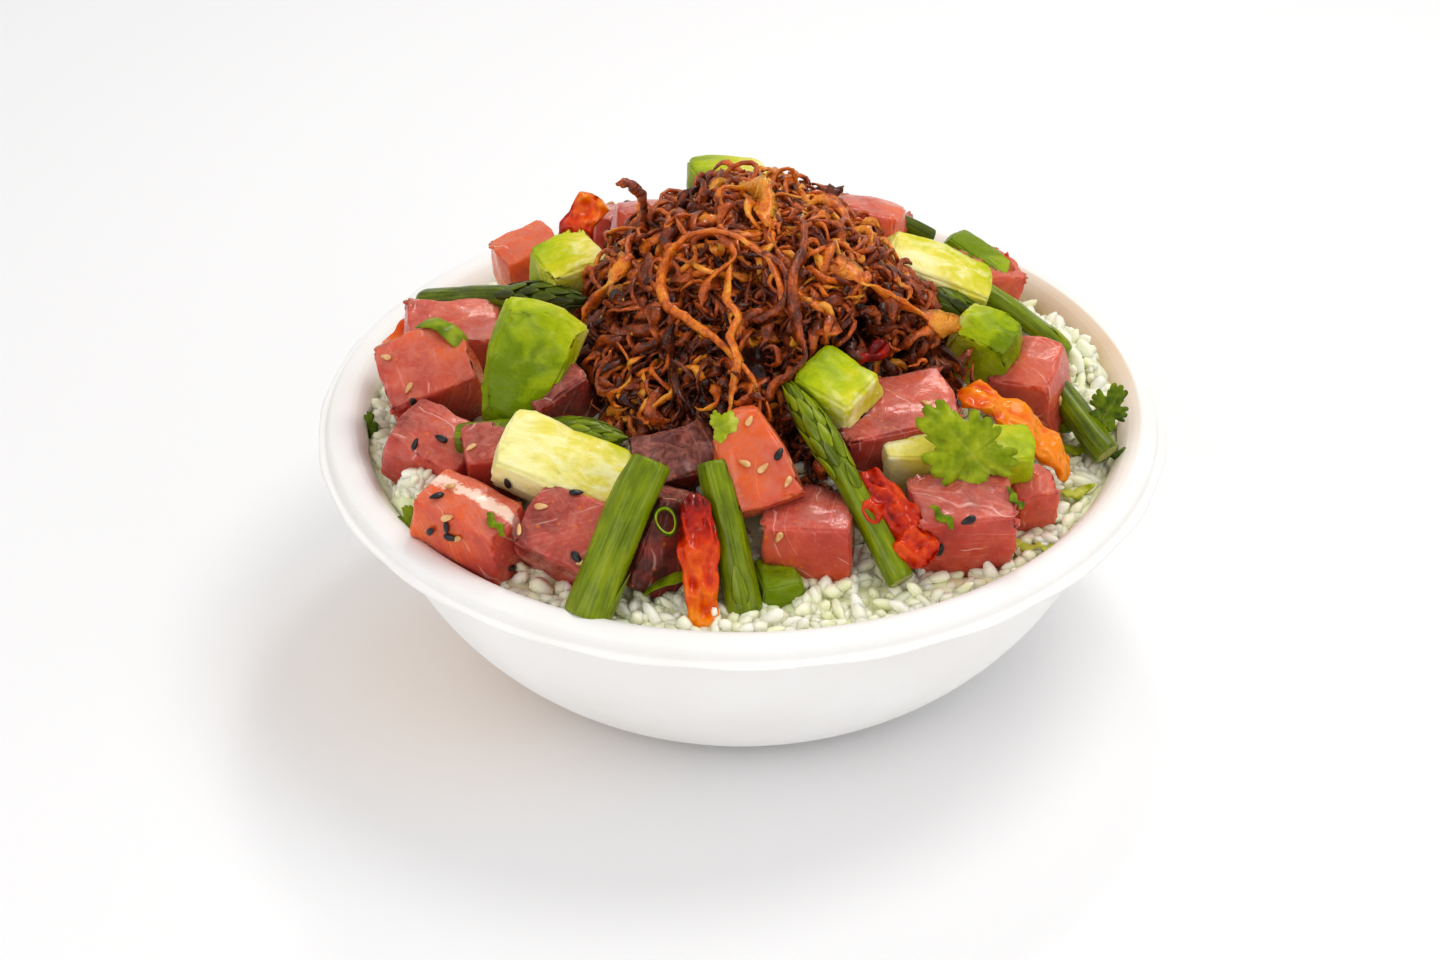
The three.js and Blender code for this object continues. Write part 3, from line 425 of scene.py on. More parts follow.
def smooth_path(points, count):
    """A Catmull-Rom curve through the points, at even steps."""
    points = np.asarray(points, float)
    padded = np.vstack([2 * points[0] - points[1], points, 2 * points[-1] - points[-2]])
    dense, t = [], np.linspace(0, 1, 12, endpoint=False)[:, None]
    for a, b, c, d in zip(padded, padded[1:], padded[2:], padded[3:]):
        bend = (2 * a - 5 * b + 4 * c - d) * t**2 + (3 * b - a - 3 * c + d) * t**3
        dense.extend(0.5 * (2 * b + (c - a) * t + bend))
    dense = np.array([*dense, points[-1]])
    reach = np.concatenate([[0], np.cumsum(np.linalg.norm(np.diff(dense, axis=0), axis=1))])
    wanted = np.linspace(0, reach[-1], count)
    return stacked(*(np.interp(wanted, reach, dense[:, k]) for k in range(3)))


# ---- Materials ----


class Nodes:
    """The nodes of a material or a world."""

    def __init__(self, owner):
        self.owner = owner
        owner.use_nodes = True
        self.nodes = owner.node_tree.nodes

    def feed(self, node, inputs):
        """Links or sets a node's inputs, except those that are None."""
        for key, value in inputs.items():
            if isinstance(value, bpy.types.NodeSocket):
                self.owner.node_tree.links.new(value, node.inputs[key])
            elif value is not None:
                node.inputs[key].default_value = value
        return node

    def node(self, kind, inputs, output, **settings):
        node = self.nodes.new("ShaderNode" + kind)
        for key, value in settings.items():
            setattr(node, key, value)
        return self.feed(node, inputs).outputs[output]


class Look(Nodes):
    """A material. Its place is the object's, or the piece's own from before it was laid."""

    def __init__(self, name, roughness=0.5, gloss=0.5, coat=(0, 0.03), under=(0, (1, 0.2, 0.1), 0.05), own=False):
        super().__init__(bpy.data.materials.new(name))
        self.shader = self.feed(self.nodes["Principled BSDF"], {
            "Roughness": roughness, "Specular IOR Level": gloss, "Coat Weight": coat[0], "Coat Roughness": coat[1],
            "Subsurface Weight": under[0], "Subsurface Radius": under[1], "Subsurface Scale": under[2],
        })
        self.place = self.value("place", "Vector") if own else self.node("TexCoord", {}, "Object")

    def value(self, name, output="Fac"):
        return self.node("Attribute", {}, output, attribute_name=name)

    def noise(self, scale, detail=3, roughness=0.55, distortion=0, where=None, **settings):
        inputs = {"Vector": where or self.place, "Scale": scale, "Detail": detail, "Roughness": roughness}
        return self.node("TexNoise", {**inputs, "Distortion": distortion}, "Fac", **settings)

    def stretched(self, scale):
        return self.node("Mapping", {"Vector": self.place, "Scale": scale}, "Vector")

    def math(self, operation, a, b):
        return self.node("Math", {0: a, 1: b}, 0, operation=operation)

    def plus(self, a, b):
        return self.math("ADD", a, b)

    def times(self, a, b):
        return self.math("MULTIPLY", a, b)

    def between(self, value, low, high, first=0, last=1):
        """Maps low..high to first..last, smoothly."""
        inputs = {"Value": value, "From Min": low, "From Max": high, "To Min": first, "To Max": last}
        return self.node("MapRange", inputs, "Result", interpolation_type="SMOOTHSTEP")

    def varied(self, value, cloud, reach):
        return self.plus(value, self.between(cloud, 0.25, 0.75, -reach, reach))

    def patchy(self, scale, detail, low, high):
        """A roughness that changes from place to place."""
        return self.between(self.noise(scale, detail), 0.3, 0.7, low, high)

    def ramp(self, value, stops):
        """Takes the colour from a value."""
        node = self.nodes.new("ShaderNodeValToRGB")
        elements = node.color_ramp.elements
        while len(elements) < len(stops):
            elements.new(0.5)
        for element, (place, color) in zip(elements, stops.items()):
            element.position, element.color = place, srgb(color)
        self.color = self.feed(node, {0: value}).outputs[0]

    def over(self, share, color):
        """Lays a share of a colour over the one that is there."""
        self.color = self.node("Mix", {0: share, 6: self.color, 7: srgb(color)}, 2, data_type="RGBA")

    def bump(self, height, distance, below=None):
        """A bump of the height value, which is distance millimetres high, over the bump below."""
        return self.node("Bump", {"Height": height, "Distance": distance * MM, "Normal": below}, "Normal")

    def done(self, normal=None, roughness=None, wet=None):
        """Joins up the shader. The wet normal is that of the juice or oil on the surface."""
        ends = {"Base Color": self.color, "Normal": normal, "Roughness": roughness, "Coat Normal": wet}
        self.feed(self.shader, ends)
        return self.owner


def paper_look():
    look = Look("moulded_fibre", 0.62, 0.35)
    cloud = look.noise(26, 4)
    look.ramp(cloud, {0.3: (243, 241, 238), 0.7: (250, 249, 248)})
    look.over(look.between(look.noise(900, 2), 0.68, 0.8, 0, 0.25), (226, 216, 200))
    # Painted shade: a beige shade colour laid on the inner wall at its right and back.
    look.over(look.times(look.value("stain"), look.between(cloud, 0.3, 0.7, 0.7, 1)), (218, 188, 152))
    return look.done(look.bump(look.noise(160, 2), 0.08, look.bump(look.noise(1400), 0.03)))


def rice_look(name, depth_shade):
    look = Look(name, 0.34, 0.3, (0.15, 0.2), (0.4, (1, 1, 0.8), 0.0015))
    shade = look.plus(look.plus(look.noise(220), look.value("tone")), depth_shade)
    look.ramp(shade, {0.35: (236, 240, 198), 0.62: (246, 248, 214), 0.85: (252, 253, 228), 1: (254, 254, 238)})
    return look.done(look.bump(look.noise(700, 2), 0.05))


def tuna_look():
    look = Look("tuna", gloss=0.1, coat=(0.55, 0.16), under=(0.6, (1, 0.35, 0.25), 0.005), own=True)
    top, band, cloud = look.value("top"), look.value("band"), look.noise(0.13, 4, 0.6)
    look.ramp(look.plus(look.value("tone"), look.between(cloud, 0.2, 0.8, -0.18, 0.18)), {
        0: (92, 44, 40), 0.2: (146, 60, 54), 0.4: (192, 82, 70), 0.6: (214, 100, 74), 0.8: (230, 108, 44),
        1: (232, 108, 26),
    })
    # Painted shade and sheen: patches of deep red are painted more strongly on the sides, which face away from the
    # light, and the tops get a painted pale pink sheen, as the light's reflection on the wet flesh.
    red = look.between(look.noise(0.2, 3, 0.6, 0.8), 0.4, 0.7, 0, 0.5)
    look.over(look.times(red, look.math("SUBTRACT", 1.15, top)), (192, 70, 50))
    painted_sheen = look.between(look.noise(0.3, 5, 0.7, 1), 0.34, 0.66, 0.06, 0.56)
    look.over(look.times(painted_sheen, top), (214, 142, 124))
    # Fine pale muscle lines run side by side in the direction of the layers.
    lines = look.noise(1.5, 2, where=look.node("CombineXYZ", {0: band}, 0))
    look.over(look.times(look.between(lines, 0.52, 0.66, 0, 0.34), look.between(cloud, 0.4, 0.6)), (236, 168, 154))
    # A few long pale seams run through the flesh.
    seam = look.math("PINGPONG", look.plus(band, look.times(look.noise(0.12, 2), 5)), 4.6)
    seam = look.times(look.between(seam, 0, 0.3, 0.5, 0), look.between(look.noise(0.16, 2), 0.44, 0.6))
    look.over(seam, (248, 214, 204))
    fat = look.times(look.value("fat"), look.noise(0.5, 3, 0.6))
    look.over(look.between(fat, 0.22, 0.4, 0, 0.9), (252, 222, 206))
    specks = look.node("TexVoronoi", {"Vector": look.place, "Scale": 0.3}, "Distance")
    look.over(look.between(specks, 0.09, 0.15, 0.6, 0), (226, 132, 50))
    wet = look.bump(look.noise(0.7, 3, 0.6), 0.1)
    return look.done(look.bump(look.noise(0.4, 4, 0.6), 0.22), look.patchy(0.9, 3, 0.16, 0.4), wet)


def avocado_look():
    look = Look("avocado", gloss=0.06, coat=(0.2, 0.22), under=(0.2, (1, 0.9, 0.25), 0.002), own=True)
    green = look.varied(look.value("green"), look.noise(0.16, 4, 0.6, 0.6), 0.16)
    look.ramp(green, {
        0: (247, 240, 174), 0.25: (236, 225, 106), 0.48: (212, 210, 44), 0.7: (180, 194, 18), 0.88: (150, 170, 8),
        1: (122, 144, 4),
    })
    smear = look.noise(1, 4, 0.6, 1.2, look.stretched((0.1, 0.22, 0.2)))
    flesh = look.between(green, 0.25, 0.8, 1, 0.06)
    look.over(look.times(flesh, look.between(smear, 0.46, 0.66, 0, 0.7)), (250, 246, 200))
    look.over(look.times(flesh, look.between(smear, 0.5, 0.2, 0, 0.5)), (200, 190, 60))
    normal = look.bump(look.noise(1.2), 0.08, look.bump(look.noise(0.3, 4, 0.6), 0.5))
    return look.done(normal, look.patchy(0.7, 3, 0.26, 0.48), look.bump(look.noise(0.4), 0.16))


def asparagus_look():
    look = Look("asparagus", gloss=0.08, coat=(0.6, 0.14), under=(0.12, (0.8, 1, 0.1), 0.0012), own=True)
    streak = look.noise(1, 4, 0.65, where=look.stretched((0.05, 1.5, 1)))
    patch = look.noise(1, where=look.stretched((0.12, 0.3, 0.3)))
    look.ramp(look.varied(look.varied(look.value("shade"), streak, 0.13), patch, 0.13), {
        0: (44, 50, 0), 0.25: (86, 102, 0), 0.5: (128, 146, 0), 0.75: (166, 174, 2), 1: (200, 204, 50),
    })
    look.over(look.value("pale"), (206, 206, 130))
    normal = look.bump(look.noise(2.5), 0.05, look.bump(streak, 0.16))
    return look.done(normal, look.patchy(0.8, 2, 0.22, 0.44), look.bump(streak, 0.08))


def pepper_look():
    look = Look("pepper", 0.28, 0.08, (0.65, 0.12), (0.15, (1, 0.3, 0.05), 0.002), own=True)
    creases = look.noise(1, 3, 0.5, 0, look.stretched((0.2, 0.5, 0.4)), noise_type="RIDGED_MULTIFRACTAL")
    red = look.varied(look.value("red"), look.noise(0.3, 4, 0.6, 0.5), 0.14)
    # Painted light and shade: the crease ridges are painted more orange and the hollows between them deeper red.
    look.ramp(look.plus(red, look.between(creases, 0.2, 1, 0.05, -0.12)), {
        0: (246, 148, 0), 0.25: (236, 108, 0), 0.5: (216, 62, 0), 0.75: (180, 26, 2), 1: (116, 8, 2),
    })
    look.over(look.between(look.noise(1.6, 4, 0.65, 0.8), 0.62, 0.8, 0, 0.3), (250, 170, 60))
    return look.done(look.bump(creases, 0.6), wet=look.bump(creases, 0.3))


def herb_look():
    look = Look("herb", 0.4, 0.1, (0.15, 0.16), (0.15, (0.8, 1, 0.1), 0.001))
    vein = look.value("pale")
    look.ramp(look.varied(look.value("shade"), look.noise(260), 0.2), {
        0: (24, 44, 2), 0.3: (66, 92, 4), 0.6: (128, 146, 6), 0.85: (164, 176, 30), 1: (198, 202, 90),
    })
    look.over(look.times(vein, 0.25), (200, 208, 110))
    return look.done(look.bump(look.noise(900, 2), 0.05, look.bump(vein, 0.12)))


def onion_look():
    look = Look("fried_onion", gloss=0.15, coat=(0.8, 0.16), under=(0.3, (1, 0.4, 0.06), 0.0014))
    look.ramp(look.varied(look.value("tone"), look.noise(300, 4, 0.7), 0.24), {
        0: (52, 20, 14), 0.2: (92, 38, 20), 0.4: (142, 62, 24), 0.6: (196, 96, 28), 0.8: (232, 130, 30),
        1: (242, 168, 54),
    })
    blister = look.noise(1300, 3, 0.7)
    # Painted highlight: pale sparkles on the raised blisters; painted shade: dark in the pits between them.
    look.over(look.between(blister, 0.56, 0.72, 0, 0.45), (222, 146, 84))
    look.over(look.between(blister, 0.44, 0.3, 0, 0.6), (52, 20, 10))
    normal = look.bump(blister, 0.3, look.bump(look.noise(620), 0.5))
    return look.done(normal, look.patchy(600, 2, 0.3, 0.6), look.bump(blister, 0.07))


def seed_look(name, dark, light, roughness):
    look = Look(name, roughness, coat=(0.3, 0.2))
    grain = look.noise(600)
    look.ramp(grain, {0.35: dark, 0.7: light})
    return look.done(look.bump(grain, 0.1))


LOOKS = {
    "bowl": paper_look(), "tuna": tuna_look(), "avocado": avocado_look(), "asparagus": asparagus_look(),
    "pepper": pepper_look(), "herb": herb_look(), "fried_onion": onion_look(),
}

# ---- Where the CAD pieces are ----


def tree_of(*pieces):
    """The surfaces of pieces, in millimetres."""
    points, faces = [], []
    for piece in pieces:
        faces += [tuple(corner + len(points) for corner in face.vertices) for face in piece.data.polygons]
        points += [tuple(vertex.co / MM) for vertex in piece.data.vertices]
    return BVHTree.FromPolygons(points, faces)


TREES = {name: tree_of(node) for name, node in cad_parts.items()}
TOPPINGS = tree_of(*(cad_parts[name] for name in TREES if name not in ("bowl", "rice", "fried_onion")))


def nearest(tree, point):
    """A point's depth in a closed surface, negative outside, and the surface's place and normal by it."""
    place, normal, _, _ = tree.find_nearest(Vector(point))
    return (place - Vector(point)).dot(normal), place, normal


def held_to(tree, points, slack):
    """Draws points that stand out of a CAD piece back to a slack above its surface."""
    held = points.copy()
    for i, point in enumerate(points):
        depth, place, normal = nearest(tree, point)
        if depth < -slack:
            held[i] = np.array(place + normal * slack)
    return held


# ---- Bowl ----


def wall_points(inset):
    """Radius and height along the wall, from the shoulder down to the foot."""
    angle, power = np.linspace(0, pi / 2, BOWL_MESH.wall_steps + 1), 2 / BOWL.fullness
    foot, shoulder, top = BOWL.foot - inset, BOWL.shoulder - inset, BOWL.shoulder_height
    return stacked(foot + (shoulder - foot) * np.cos(angle) ** power, top - (top - inset) * np.sin(angle) ** power)


def inner_radius(height):
    wall = wall_points(BOWL.wall)[::-1]
    return float(np.interp(height, wall[:, 1], wall[:, 0]))


def rounded(profile, times=2):
    """Rounds the corners of an open outline by cutting them again and again."""
    for _ in range(times):
        first, second = profile[:-1], profile[1:]
        cut = np.stack([first * 0.75 + second * 0.25, first * 0.25 + second * 0.75], axis=1).reshape(-1, 2)
        profile = np.vstack([profile[:1], cut, profile[-1:]])
    return profile


def make_bowl():
    rim = rounded(np.array([(BOWL.lip + out, BOWL.height - below) for out, below in RIM]))
    outside = wall_points(0)
    profile = np.vstack([(0.5, BOWL.wall), wall_points(BOWL.wall)[::-1], rim, outside, (0.5, 0)])[::-1]
    around, radius, height = circle(BOWL_MESH.segments), profile[:, :1], profile[:, 1:]
    # The pressed wall is a little wavy round its upper part.
    wave = 0.22 * np.sin(around * 23 + height * 0.1) * np.clip((height - 20) / 40, 0, 1) * (height < 59)
    points = round_z(radius + wave, around, height).reshape(-1, 3)
    # The part of the inner wall at the right and back that gets the painted shade.
    away = (np.degrees(around) - WALL_SHADE.towards + 180) % 360 - 180
    inner_rows = np.arange(len(profile))[:, None] > 0.84 * len(rim) + len(outside)
    stain = inner_rows * (height > WALL_SHADE.above) * np.exp(-((away / WALL_SHADE.reach) ** 2))
    heap = Heap().add(points, tube_faces(len(profile), len(around)), stain=stain.ravel())
    heap.finish("bowl_shell", "bowl", "bowl")


# ---- Rice ----


def rice_height(x, y):
    lumps = []
    for at, rise, spread in RICE_LUMPS:
        lumps.append(rise * np.exp(-((x - at[0]) ** 2 + (y - at[1]) ** 2) / (2 * spread**2)))
    heap = RICE.heap / (1 + np.exp((np.hypot(x, y) - RICE.heap_radius) / RICE.slope))
    return RICE.edge + heap + np.maximum.reduce(lumps)


def make_rice():
    edge, around = inner_radius(RICE.edge), circle(180)
    surface = round_z(np.linspace(0.5, edge, 60)[:, None], around, 0)
    surface[..., 2] = rice_height(surface[..., 0], surface[..., 1]) + 1.3
    surface[..., 2] += 1.3 * noise(surface / 3.2, 5) + 0.4 * noise(surface / 1.6, 6)
    wall = wall_points(BOWL.wall + 0.3)
    wall = wall[wall[:, 1] < RICE.edge]
    points = np.concatenate([surface, round_z(wall[:, :1], around, wall[:, 1:])])
    # Painted shade: the core under the grains is painted a little darker than the grains.
    core = Heap().add(points.reshape(-1, 3), tube_faces(len(points), len(around), True), tone=0)
    core.finish("rice_core", "rice", "rice", rice_look("rice_core", -0.06))

    rng, grains = np.random.default_rng(11), Heap()
    draw = rng.uniform
    template, faces = drop(GRAINS.sides, GRAINS.rings, 0.3)

    def lay(middle, size, turn, seed, layer):
        points = template * size
        points[:, 2] += 0.12 * size[2] * (1 - template[:, 0] ** 2) * rng.choice([-1, 1])
        points = points + 0.5 * shift_noise(points / 2.2 + 31 * seed, 0)
        # Painted shade: grains in lower layers are painted a little darker than those above, on top of a random
        # tone.
        grains.add(points @ turn.T + middle, faces, tone=draw(-0.02, 0.34) + 0.05 * layer)

    placed = 0
    while placed < GRAINS.count:
        angle = draw(0, tau)
        radius = sqrt(draw((GRAINS.inner / edge) ** 2, 0.985)) * edge
        x, y = radius * cos(angle), radius * sin(angle)
        if placed < GRAINS.clump:
            x, y = rng.normal(RICE_LUMPS[1][0], 3.2)
            radius = hypot(x, y)
        layer = rng.choice([0.9, 1.9, 2.9], p=[0.45, 0.37, 0.18])
        size = draw(0.85, 1.2, 3) * (GRAINS.length * draw(0.7, 1.1), GRAINS.width, GRAINS.width) / 2
        middle = (x, y, float(rice_height(x, y)) + layer)
        if radius + size[0] * 0.8 > inner_radius(min(middle[2], 59.8)) or nearest(TOPPINGS, middle)[0] > 0.2:
            continue
        if mound_share(x, y) < 0.95:
            continue
        tilt = turned((draw(-30, 30), draw(-60, 60), 0))
        lay(middle, size, turned((0, 0, draw(0, 360))) @ tilt, placed, layer)
        placed += 1
    # One more ring of grains lies along the wall.
    for angle in np.linspace(0, tau, GRAINS.edge) + rng.normal(0, 0.01, GRAINS.edge):
        layer, radius = draw(0.7, 2.2), edge - draw(1.9, 3)
        x, y = radius * cos(angle), radius * sin(angle)
        middle, size = (x, y, float(rice_height(x, y)) + layer), draw(0.85, 1.1, 3) * (2.7, 1.8, 1.8)
        if nearest(TOPPINGS, middle)[0] < 0.2:
            tilt = turned((draw(-20, 20), draw(-20, 20), 0))
            lay(middle, size, turned((0, 0, degrees(angle) + draw(70, 110))) @ tilt, layer * 900, layer)
    grains.finish("rice_grains", "rice", "rice", rice_look("rice_grains", 0))


# ---- Cubes ----


def unit_cube(cells):
    """The skin of a cube from -0.5 to 0.5, with its lines closer near the edges."""
    line = 0.5 * np.sin(np.linspace(-1.3, 1.3, cells + 1)) / sin(1.3)
    a, b = np.meshgrid(line, line, indexing="ij")
    quads = grid_faces(cells + 1, cells + 1, False)
    points, faces = [], []
    for axis in range(3):
        for side in (-0.5, 0.5):
            faces.append((quads if side > 0 else quads[:, ::-1]) + len(points) * a.size)
            points.append(np.roll(stacked(side, a, b), axis, axis=-1).reshape(-1, 3))
    points = np.concatenate(points)
    _, first, back = np.unique(np.round(points, 5), axis=0, return_index=True, return_inverse=True)
    return points[first], back.ravel()[np.concatenate(faces)]


CUBE_POINTS, CUBE_FACES = unit_cube(20)


def place_cube(name, at, size, turn, seed, fillet, relief):
    """Points of a hand-cut cube where it lies, and before it was turned."""
    size = np.array(size, float)
    points = CUBE_POINTS * size
    inner = np.clip(points, fillet - size / 2, size / 2 - fillet)
    points = inner + unit(points - inner) * fillet
    nearness = np.sort(2 * np.abs(CUBE_POINTS), axis=-1)
    taper, soft = SHAPES.get(name, (None, 0))
    taper = 0.1 * sin(seed * 5.1) if taper is None else taper
    edge, corner = nearness[:, 1] ** (5 - 2 * soft), nearness[:, 0] ** (5 - 2 * soft)
    fullness = 1.035 - (0.065 + 0.1 * soft) * edge - (0.035 + 0.1 * soft) * corner
    points[:, :2] *= (fullness * (1 + taper * CUBE_POINTS[:, 2] * 2))[:, None]
    points[:, 2] *= fullness
    points *= (1 + 0.7 * unevenness(*points.T, seed) / np.linalg.norm(points, axis=-1))[:, None]
    coarse, fine, grain = relief
    height = coarse * layered_noise(points / 7 + seed * 3.1, seed) + fine * layered_noise(points / 2.2, seed + 9)
    height += grain * noise(points / 0.9, seed + 5)
    shaped = points + normals_of(points, CUBE_FACES) * height[:, None]
    return held_to(TREES[name], shaped @ turned(turn).T + at, 0.45), points


def make_tuna():
    for seed, name, at, size, turn, tone, change in named("tuna", TUNA):
        world, local = place_cube(name, at, size, turn, seed, 1.2, (0.8, 0.2, 0.04))
        layers, slide = unit(np.random.default_rng(100 + seed).normal(size=(2, 3)))
        band = local @ layers + 2.5 * np.sin(local @ slide * 0.17 + seed) + 13.7 * seed
        tones = tone + 2 * local / size @ np.array(change) + 0.08 * layered_noise(local / 9, seed)
        # How much each point faces up: the tops get the painted sheen and the sides the painted shade.
        top = np.clip(normals_of(world, CUBE_FACES)[:, 2] * 1.2 - 0.1, 0, 1)
        fat = np.exp(-(((local[:, 1] - 1.5) / 2.6) ** 2)) * np.clip(local[:, 2] / 5, 0, 1) * (name == FATTY)
        values = {"place": local + 37 * seed, "band": band, "tone": tones, "top": top, "fat": fat}
        Heap().add(world, CUBE_FACES.tolist(), **values).finish(name + "_flesh", "tuna", name)


def make_avocado():
    for index, name, at, size, turn, green_side, share in named("avocado", AVOCADO):
        world, local = place_cube(name, at, size, turn, index + 40, 1.7, (0.6, 0.22, 0.05))
        towards = (world - world.mean(axis=0)) @ unit(green_side)
        green = share + 0.42 * towards / np.abs(towards).max()
        piece = Heap().add(world, CUBE_FACES.tolist(), place=local + 29 * index, green=green)
        piece.finish(name + "_flesh", "avocado", name)


# ---- Spears and strips ----


def laid(start, end, roll=0):
    """The axes of a piece that lies from start to end, along, across and up, and its length."""
    along = unit(np.subtract(end, start))
    side = unit(np.cross((0, 0, 1), along))
    up, c, s = np.cross(along, side), cos(radians(roll)), sin(radians(roll))
    return np.array([along, side * c + up * s, up * c - side * s]), float(np.linalg.norm(np.subtract(end, start)))


def make_spear(seed, name, start, end, radius, has_tip, bow, shade):
    (axes, length), rings, sides = laid(start, end), 64, 30
    share, around = np.linspace(0, 1, rings), circle(sides)
    outline = np.interp(share, *np.array(STALK[has_tip]).T)

    def on_skin(t, angle, lift=0.0):
        """A place on the stalk's skin, or a lift above it."""
        place = round_x(t * length, np.interp(t, share, outline) * radius + lift, angle)
        place[..., 2] += 4 * bow * t * (1 - t)
        return place @ axes + start

    t, angle = np.meshgrid(share, around, indexing="ij")
    ridges, dents = round_x(t * length / 16, 2.4, angle), round_x(t * length / 6, 1.1, angle)
    lift = 0.075 * noise(ridges, seed) + 0.07 * noise(dents, seed + 3) + 0.03 * noise(ridges * 2.2, seed + 7)
    skin = on_skin(t, angle, radius * lift * np.clip(36 * np.minimum(t, 1 - t), 0.2, 1)).reshape(-1, 3)
    # Each cut end closes with a sunk, fibrous face.
    caps = []
    for t_end, sink in ((0, 0.45), (1, -0.45)):
        ring = on_skin(np.full(sides, t_end), around)
        middle = ring.mean(axis=0)
        caps.append([middle + (ring - middle) * inner + axes[0] * sink * (1 - inner) for inner in (0.72, 0.4, 0.1)])
    points = np.concatenate([*caps[0][::-1], skin, *caps[1]])
    row, total = np.arange(rings + 6), rings + 6
    spread = np.concatenate([np.zeros(3), share, np.ones(3)])
    pale = np.where((row < 3) | ((row >= total - 3) & (not has_tip)), 0.75, 0)
    place = stacked(np.repeat(spread * length, sides), np.tile(around * radius, total), 13 * seed)
    tones = np.repeat(shade - 0.2 * (spread > 0.62) * has_tip, sides)
    piece = Heap().add(points, tube_faces(total, sides), place=place, shade=tones, pale=np.repeat(pale, sides))

    # Scales: overlapping on the bud, and a few lying on the stalk below it.
    template, faces = drop(8, 7, 0.65)
    draw = np.random.default_rng(300 + seed).uniform
    scales = [(0.56 + 0.4 * i / 36, i * 2.4, 1) for i in range(36 * has_tip)]
    scales += [(0.18 + 0.16 * i + draw(-0.04, 0.04), draw(0, 6.28), 1.15) for i in range(1 + 2 * has_tip)]
    for root, turn, size in scales:
        size *= draw(0.85, 1.15)
        reach = max(0.35, float(np.interp(root, share, outline)))
        u = template[:, 0] * size * radius * (0.5 + 0.55 * reach) / length + root
        v = template[:, 1] * size * 0.42 * (0.4 + reach) / reach + turn
        up = template[:, 2] * radius * 0.1 + radius * 0.075 * (template[:, 0] + 1)
        place = stacked(u * length, v * radius, 5 * seed + turn)
        tone, rim = shade - 0.04 + draw(-0.12, 0.1), np.clip(template[:, 0], 0, 1) ** 3 * 0.2
        piece.add(on_skin(np.clip(u, 0, 1.02), v, up), faces, place=place, shade=tone, pale=rim)
    piece.finish(name + "_spear", "asparagus", name)


def strip(seed, columns, crinkle, wrinkle, start, end, width, thickness, bow, roll):
    """A crinkled strip: points and faces, and each point's place in the strip and height on a fold."""
    axes, length = laid(start, end, roll)
    steps, rows = max(4, round(length / 3.5)), int(length * 3.2) + 4
    t, around = np.linspace(0, 1, rows), circle(columns)
    narrow = (1 - 0.2 * np.abs(2 * t - 1) ** 3) * (1 + 0.1 * np.sin(t * 9 + seed))
    narrow *= 1 + 0.09 * noise(stacked(t * length / 2.3, seed, 0), seed)
    narrow *= np.clip(np.minimum(t, 1 - t) * 14, 0.12, 1) ** 0.5
    t, c, s = t[:, None], np.cos(around), np.sin(around)
    y = np.outer(narrow, signed_power(c, 0.7)) * width / 2
    z = np.outer(np.clip(narrow, 0.3, 1), signed_power(s, 0.8)) * thickness / 2
    where = stacked(t * length, y, z)
    folds = 1 - np.abs(noise(where / (5.5, 1.9, 6.0) + seed, seed + 1)) * 3
    fine = 1 - np.abs(noise(where / (2.2, 0.9, 3.0) + seed, seed + 2)) * 3
    crest, bent = 0.5 * folds + 0.3 * fine, where.copy()
    bent[..., 2] += crinkle * (np.sin(t * steps * 2.2 + seed + y / width * 3) + np.abs(y / width) * 2)
    bent[..., 2] += 4 * bow * t * (1 - t) + wrinkle * crest * signed_power(s, 0.5)
    bent[..., 1] += wrinkle * 0.16 * noise(where / 2.5, seed + 4)
    bent[..., 0] += wrinkle * 0.2 * noise(where / 2.5, seed + 6)
    points = (bent @ axes + start).reshape(-1, 3)
    return points, tube_faces(rows, columns), where.reshape(-1, 3), crest.ravel()


def make_strips():
    for index, name, *run, (first, last), wrinkle in named("pepper", PEPPERS):
        points, faces, where, crest = strip(index + 2, 48, 0.7, wrinkle, *run)
        # Painted light and shade on the folds: their tops are painted more orange and their troughs deeper red.
        red = first + (last - first) * where[:, 0] / where[:, 0].max() - 0.24 * (crest - 0.1)
        piece = Heap().add(points, faces, place=where + 23 * index, red=red)
        piece.finish(name + "_strip", "pepper", name)
    for index, name, *run in named("herb_stem", HERB_STEMS):
        points, faces, _, _ = strip(index, 30, 0.1, 0.15, *run)
        Heap().add(points, faces, shade=0.62, pale=0).finish(name + "_blade", "herb", name)


# ---- Leaves ----


